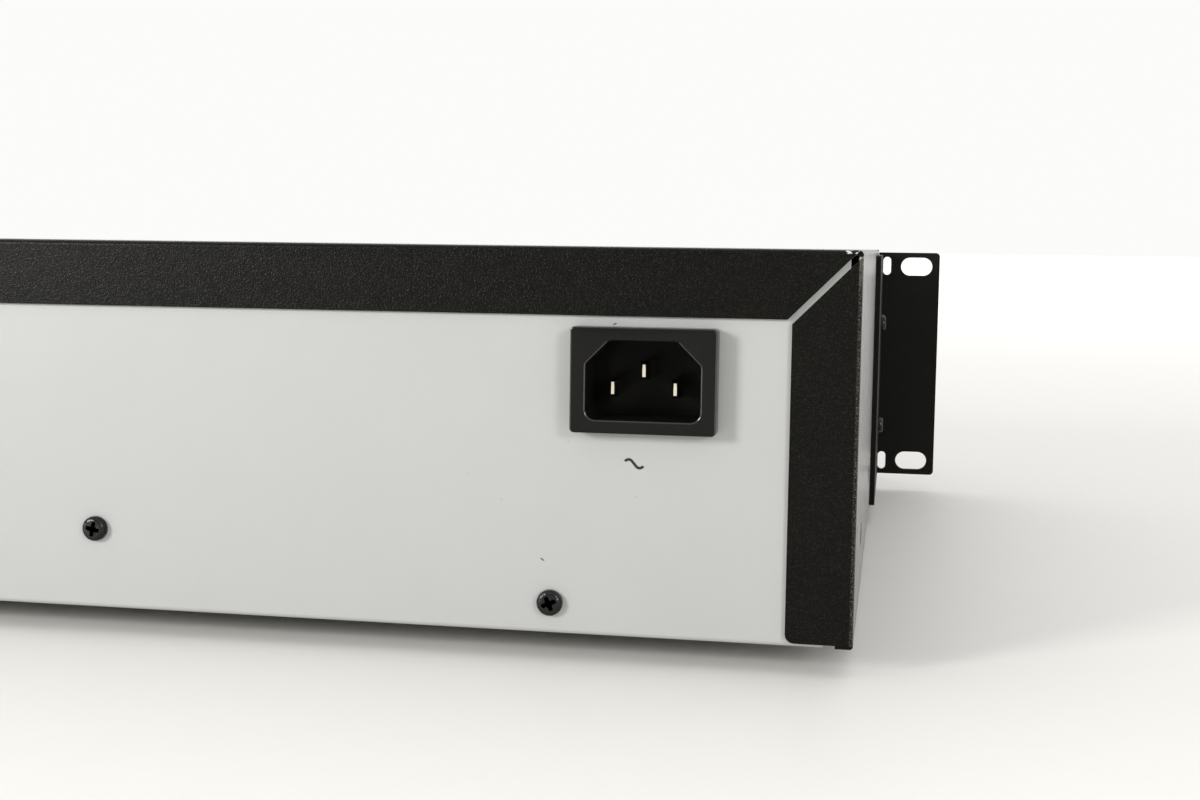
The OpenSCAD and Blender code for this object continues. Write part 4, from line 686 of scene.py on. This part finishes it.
transport_z, transport_w, transport_h, transport_symbol = 0.0265, 0.027, 0.015, 0.0036
key_row({
    "skip_back_key": (0.037, [rectangle(-1.25, 0, 0.2, 1), arrow(-0.45, 0, 1, 180), arrow(0.5, 0, 1, 180)]),
    "skip_next_key": (0.068, [arrow(-0.5, 0, 1), arrow(0.45, 0, 1), rectangle(1.25, 0, 0.2, 1)]),
    "stop_key": (0.099, [rectangle(0, 0, 1, 1)]),
    "pause_key": (0.13, [rectangle(-0.28, 0, 0.3, 1), rectangle(0.28, 0, 0.3, 1)]),
    "play_key": (0.161, [arrow(0, 0, 1.1)]),
    "record_key": (0.192, [disc(0, 0, 0.55)]),
}, transport_z, transport_w, transport_h, transport_symbol)
function_z, function_w, function_h, function_symbol = 0.0665, 0.017, 0.008, 0.0026
key_row({
    "eject_key": (0.02, [arrow(0, 0.15, 1, 90), rectangle(0, -0.5, 1, 0.2)]),
    "menu_key": (0.044, [rectangle(0, 0.4 * i, 1.3, 0.16) for i in (-1, 0, 1)]),
    "display_key": (0.068, [
        rectangle(0, 0.5, 1.6, 0.16), rectangle(0, -0.5, 1.6, 0.16),
        rectangle(-0.72, 0, 0.16, 0.84), rectangle(0.72, 0, 0.16, 0.84),
    ]),
    "input_key": (0.092, [
        arrow(0.1, 0, 0.8), rectangle(-0.6, 0, 0.8, 0.2), rectangle(0.75, 0, 0.18, 1.1),
    ]),
}, function_z, function_w, function_h, function_symbol)
power_x, power_z, power_w, power_h = -0.192, 0.0705, 0.02, 0.011
power_line, power_mark = 0.0005, 0.0034
key_cap("power_button", power_x, power_z, power_w, power_h)
power_shape = rectangle(power_x, power_z, power_line, power_mark)
film("power_symbol", [power_shape], key_front, ink_white, "power_button")


# Knobs, dial and phones socket
# Turned-look moulded knobs with grip flutes and a white pointer line, and a jog dial with a finger dimple.
# Plain numbers round the level knobs are printed on the face. The phones socket has a plated nut.

knob_plastic = finish("knob_plastic", (0.02, 0.02, 0.0195), 0.15, (0.36, 0.5), (1900.0, 0.00003))
inner_plastic = finish("inner_knob_plastic", (0.05, 0.05, 0.048), 0.12, (0.34, 0.46), (1900.0, 0.00002))
from_cad("level_outer", "level_knob_outer", knob_plastic, edge=0.0003)
from_cad("level_inner", "level_knob_inner", inner_plastic, edge=0.0003)
from_cad("phones_level", "phones_knob", knob_plastic, edge=0.0004)
from_cad("jog", "jog_dial", knob_plastic, edge=0.0004)
from_cad("phones_body", "phones_socket", jack_plastic, edge=0.0002)
level_x, level_z, phones_x, phones_z = 0.19, 0.0645, -0.17, 0.0265
face_y, inner_face, outer_face, phones_face = -0.145, -0.159, -0.152, -0.157
knob_low, tick_step, tick_count, tick_w = -150, 30, 11, 0.0004
level_ticks, phones_ticks = (0.0182, 0.0194), (0.0087, 0.0097)
number_size, number_r = 0.003, 0.0216


def ray(x, z, degrees, near, far, width):
    """A line that points away from a middle, at an angle clockwise from the top."""
    angle = math.radians(degrees)
    out, across = Vector((math.sin(angle), math.cos(angle))), Vector((math.cos(angle), -math.sin(angle)))
    corners = ((near, -1), (near, 1), (far, 1), (far, -1))
    return [tuple(Vector((x, z)) + out * r + across * side * width / 2) for r, side in corners]


for name, body, x, z, y, near, far, width in (
    ("inner_pointer", "level_knob_inner", level_x, level_z, inner_face, 0.005, 0.0102, 0.0009),
    ("phones_pointer", "phones_knob", phones_x, phones_z, phones_face, 0.0028, 0.0064, 0.0008),
    ("outer_pointer", "level_knob_outer", level_x, level_z, outer_face, 0.0124, 0.0158, 0.0009),
):
    film(name, [ray(x, z, knob_low, near, far, width)], y, ink_white, body)
dial_angles = [knob_low + tick_step * i for i in range(tick_count)]
ticks = [
    ray(x, z, angle, *reach, tick_w)
    for x, z, reach in ((level_x, level_z, level_ticks), (phones_x, phones_z, phones_ticks))
    for angle in dial_angles
]
film("level_ticks", ticks, face_y, ink_white, "case")
bm = bmesh.new()
for i in range(0, tick_count, 2):
    curve = bpy.data.curves.new("number", "FONT")
    curve.body, curve.size, curve.extrude = str(i), number_size, ink / 2
    curve.align_x, curve.align_y = "CENTER", "CENTER"
    digits = bpy.data.objects.new("number", curve)
    mesh = bpy.data.meshes.new_from_object(digits)
    bpy.data.objects.remove(digits)
    angle = math.radians(dial_angles[i])
    spot = (level_x + number_r * math.sin(angle), face_y - ink / 2, level_z + number_r * math.cos(angle))
    add_mesh(bm, mesh, Matrix.Translation(spot) @ Matrix.Rotation(math.radians(90), 4, "X"))
new_piece("level_numbers", bm, ink_white, "case")
nut_x, nut_r, nut_hole_r, nut_face_r = -0.196, 0.00705, 0.0036, 0.0058
nut_h, nut_side_h, nut_edge = 0.00215, 0.0012, 0.0002
nut_profile = [
    (nut_hole_r, 0), (nut_r, 0), (nut_r, nut_side_h),
    (nut_face_r, nut_h), (nut_hole_r, nut_h), (nut_hole_r, 0),
]
bm = bmesh.new()
turn(bm, nut_profile, (0, -1, 0), (nut_x, face_y, phones_z))
close_up(bm)
round_edges(bm, crisp(bm, 50.0), nut_edge)
new_piece("phones_nut", bm, nickel, "case")


# Top cover
# One sheet of steel folded down at the sides, hemmed at the foot, and folded in round the rear panel.
# Black fine-texture powder coat. A slit lets the rear flanges fold beside each other at each corner.

cover_top, cover_foot, cover_rear, cover_front = 0.0945, 0.0065, 0.151, -0.1288
cover_t, cover_bend, cover_edge = 0.001, 0.0012, 0.00018
flange_side, flange_top, flange_lift, flange_corner = 0.015, 0.0153, 0.001, 0.002
slit_w, slit_run, slit_end, hem_w, hem_bend = 0.0014, 0.01585, 0.00068, 0.004, 0.0008


def powder_coat(name, colour, rough, corner, sheen, gloss=0.0):
    """Fine-texture black powder coat with dust and painted glints on its grain, and bright metal on rubbed
    bends, most near a corner.
    """
    material = finish(name, colour, 0.3, rough, (3800.0, 0.00002), shine=0.07)
    tree = material.node_tree
    sockets = tree.nodes["Principled BSDF"].inputs
    for socket, setting in (
        ("Sheen Weight", sheen), ("Sheen Roughness", 0.35),
        ("Coat Weight", gloss), ("Coat Roughness", 0.22), ("Coat IOR", 1.12),
    ):
        sockets[socket].default_value = setting
    place = object_place(tree)
    grit = node(tree, "Bump", Height=noise(tree, place, 2300.0, 1.0), Distance=0.0002)
    tree.links.new(grit.outputs["Normal"], sockets["Coat Normal"])
    sand = ramp(tree, noise(tree, place, 3800.0, 3.0, roughness=0.6), 0.48, 0.78)
    overlay(material, sand, (0.009, 0.0085, 0.0058))
    # Lighter specks on a share of small cells: painted glints that stand in for the sparkle of the coat's
    # grain.
    overlay(material, cells(material, 3000.0, 0.46, 0.2, share=0.4), (0.0145, 0.0137, 0.01))
    overlay(material, cells(material, 90.0, 0.02, 0.01, share=0.1), (0.2, 0.19, 0.17))
    normal = node(tree, "NewGeometry").outputs["Normal"]
    normal = node(tree, "VectorMath", {"operation": "ABSOLUTE"}, in0=normal).outputs["Vector"]
    axes = node(tree, "SeparateXYZ", Vector=normal).outputs
    flat = calc(tree, "MAXIMUM", calc(tree, "MAXIMUM", axes["X"], axes["Y"]), axes["Z"])
    bend = ramp(tree, flat, 0.985, 0.93)
    upright = calc(tree, "MULTIPLY", bend, ramp(tree, axes["Z"], 0.35, 0.1))
    halves = node(tree, "VectorMath", {"operation": "ABSOLUTE"}, in0=place).outputs["Vector"]
    away = node(tree, "VectorMath", {"operation": "DISTANCE"}, in0=halves, in1=corner).outputs["Value"]
    near = ramp(tree, away, 0.01, 0.001, end=0.26)
    for where, scale, low, high, tint in (
        (bend, 700.0, 0.76, 0.81, (0.5, 0.49, 0.46)), (upright, 3200.0, 0.5, 0.6, (0.075, 0.073, 0.062)),
    ):
        rub = calc(tree, "ADD", noise(tree, place, scale, 5.0), near)
        overlay(material, calc(tree, "MULTIPLY", ramp(tree, rub, low, high), where), tint)
    return material


def rear_faces(bm):
    """The faces of the cover's rear flanges and of the bends round them."""
    return [f for f in bm.faces if min(v.co.y for v in f.verts) > cover_rear - cover_bend - hair]


cover_coat = powder_coat(
    "cover_coat", (0.001, 0.001, 0.0006), (0.3, 0.4), (cover_hw, cover_rear, cover_top), sheen=0.12, gloss=1.0
)
bm = bmesh.new()
inside_x, inside_z, flange_foot = cover_hw - flange_side, cover_top - flange_top, cover_foot + flange_lift
half_slit, reach = slit_w / math.sqrt(2), slit_run / math.sqrt(2)
points = [
    (0, cover_top), (cover_hw, cover_top), (cover_hw, flange_foot), (inside_x, flange_foot),
    (inside_x, inside_z - half_slit), (inside_x + reach + half_slit, inside_z + reach),
    (inside_x + reach, inside_z + reach + half_slit), (inside_x - half_slit, inside_z), (0, inside_z),
]
verts = [bm.verts.new((x, cover_rear, z)) for x, z in points]
bm.faces.new(verts)
folds = [bm.edges.get(verts[0:2]), bm.edges.get(verts[1:3])]
pull(bm, folds, (0, cover_front - cover_rear, 0))
folds += [e for e in verts[1].link_edges if e not in folds]
round_corners(bm, [verts[3]], flange_corner, 6)
round_corners(bm, verts[5:7], slit_end, 4)
round_edges(bm, folds, cover_bend, 6)
side_foot = [
    e for e in bm.edges
    if e.is_boundary and all(abs(v.co.x - cover_hw) < 1e-6 and v.co.z < flange_foot + hair for v in e.verts)
]
side_foot = pull(bm, side_foot, (0, 0, -flange_lift))
pull(bm, side_foot, (-hem_w, 0, 0))
round_edges(bm, side_foot, hem_bend, 4)
bmesh.ops.mirror(bm, geom=bm.verts[:] + bm.edges[:] + bm.faces[:], axis="X", merge_dist=1e-6)
close_up(bm)
bmesh.ops.triangulate(bm, faces=[f for f in bm.faces if len(f.verts) > 4])
for side in (-1, 1):
    inner, across = Vector((side * inside_x, cover_rear, inside_z)), Vector((side, 0, -1)).normalized()
    for slit_side in (-1, 1):
        flanges = [f for f in rear_faces(bm) if side * f.calc_center_median().x > 0]
        parts = dict.fromkeys(part for f in flanges for part in (f, *f.edges, *f.verts))
        bmesh.ops.bisect_plane(
            bm, geom=list(parts), dist=1e-7, plane_co=inner + across * slit_side * slit_w / 2, plane_no=across
        )
    offsets = {f: abs((f.calc_center_median() - inner).dot(across)) for f in rear_faces(bm)}
    strip = [f for f, offset in offsets.items() if offset < slit_w / 2 - 1e-6]
    bmesh.ops.delete(bm, geom=strip, context="FACES")
bmesh.ops.dissolve_limit(bm, angle_limit=math.radians(0.5), verts=bm.verts, edges=bm.edges)
cover = new_piece("cover", bm, cover_coat, "case", sheet=cover_t, edge=cover_edge)
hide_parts("top_cover")


# Rack ears
# Two angles of thick steel sheet in the same black powder coat, screwed to the cover's sides.
# Each has two rack slots and two relief slots beside its bend.

rack_hw, ear_front, ear_top = 0.2413, 0.141, 0.0935
ear_coat = powder_coat(
    "ear_coat", (0.007, 0.007, 0.006), (0.4, 0.55), (rack_hw, ear_front, ear_top), sheen=0.02
)
from_cad("ear_left", "rack_ear_left", ear_coat, edge=0.0003)
from_cad("ear_right", "rack_ear_right", ear_coat, edge=0.0003)


# Floor, light and camera
# A pale floor that glows more with distance (painted light) so it fades to white, two soft boxes beside the
# camera, and a room brighter ahead and overhead.
# The camera stands where the photograph was taken.

floor_half = 40
floor_paint_and_glow = finish("floor_paint_and_glow", (0.74, 0.725, 0.7), 0.01, (0.5, 0.6), (60.0, 0.00002))
tree = floor_paint_and_glow.node_tree
away = node(tree, "VectorMath", {"operation": "LENGTH"}, in0=object_place(tree)).outputs["Value"]
sockets = tree.nodes["Principled BSDF"].inputs
# The floor glows more the farther it lies from the middle: painted light that turns it white far off.
tree.links.new(ramp(tree, away, 0.3, 2.4, end=0.4), sockets["Emission Strength"])
sockets["Emission Color"].default_value = (1.0, 0.995, 0.985, 1.0)
bm = bmesh.new()
bmesh.ops.create_grid(bm, x_segments=1, y_segments=1, size=floor_half)
floor_mesh = bpy.data.meshes.new("floor")
bm.to_mesh(floor_mesh)
bm.free()
floor_mesh.materials.append(floor_paint_and_glow)
floor = bpy.data.objects.new("floor", floor_mesh)
bpy.context.scene.collection.objects.link(floor)

aim, box_side, box_colour = Vector((-0.1, 0.15, 0.05)), 0.36, (1.0, 0.985, 0.96)
for name, place, power in (
    ("soft_box_left", (0.95, 1.25, 0.48), 20.5), ("soft_box_right", (-1.15, 1.25, 0.5), 9.0),
):
    light = bpy.data.lights.new(name, "AREA")
    light.size, light.energy, light.color = box_side, power, box_colour
    box = bpy.data.objects.new(name, light)
    box.location = place
    box.rotation_euler = (aim - box.location).to_track_quat("-Z", "Y").to_euler()
    bpy.context.scene.collection.objects.link(box)

world = bpy.data.worlds.new("white_room")
bpy.context.scene.world = world
world.use_nodes = True
tree = world.node_tree
room = node(tree, "SeparateXYZ", Vector=node(tree, "TexCoord").outputs["Generated"]).outputs
ahead = ramp(tree, room["Y"], -0.4, 0.35, start=0.97, end=0.46)
overhead = ramp(tree, room["Z"], 0.4, 0.8, end=0.5)
tree.links.new(calc(tree, "ADD", ahead, overhead), tree.nodes["Background"].inputs["Strength"])
tree.nodes["Background"].inputs["Color"].default_value = (1.0, 1.0, 0.99, 1.0)
bpy.context.scene.view_settings.view_transform = "Standard"

camera = bpy.data.cameras.new("camera")
camera.lens, camera.sensor_width = 48.3, 36.0
viewer = bpy.data.objects.new("camera", camera)
right, up = Vector((-0.98337, -0.18113, 0.01304)), Vector((0.03006, -0.09153, 0.99534))
stand = Matrix.Translation((-0.2251, 0.5029, 0.0947))
viewer.matrix_world = stand @ Matrix((right, up, right.cross(up))).transposed().to_4x4()
bpy.context.scene.collection.objects.link(viewer)
bpy.context.scene.camera = viewer
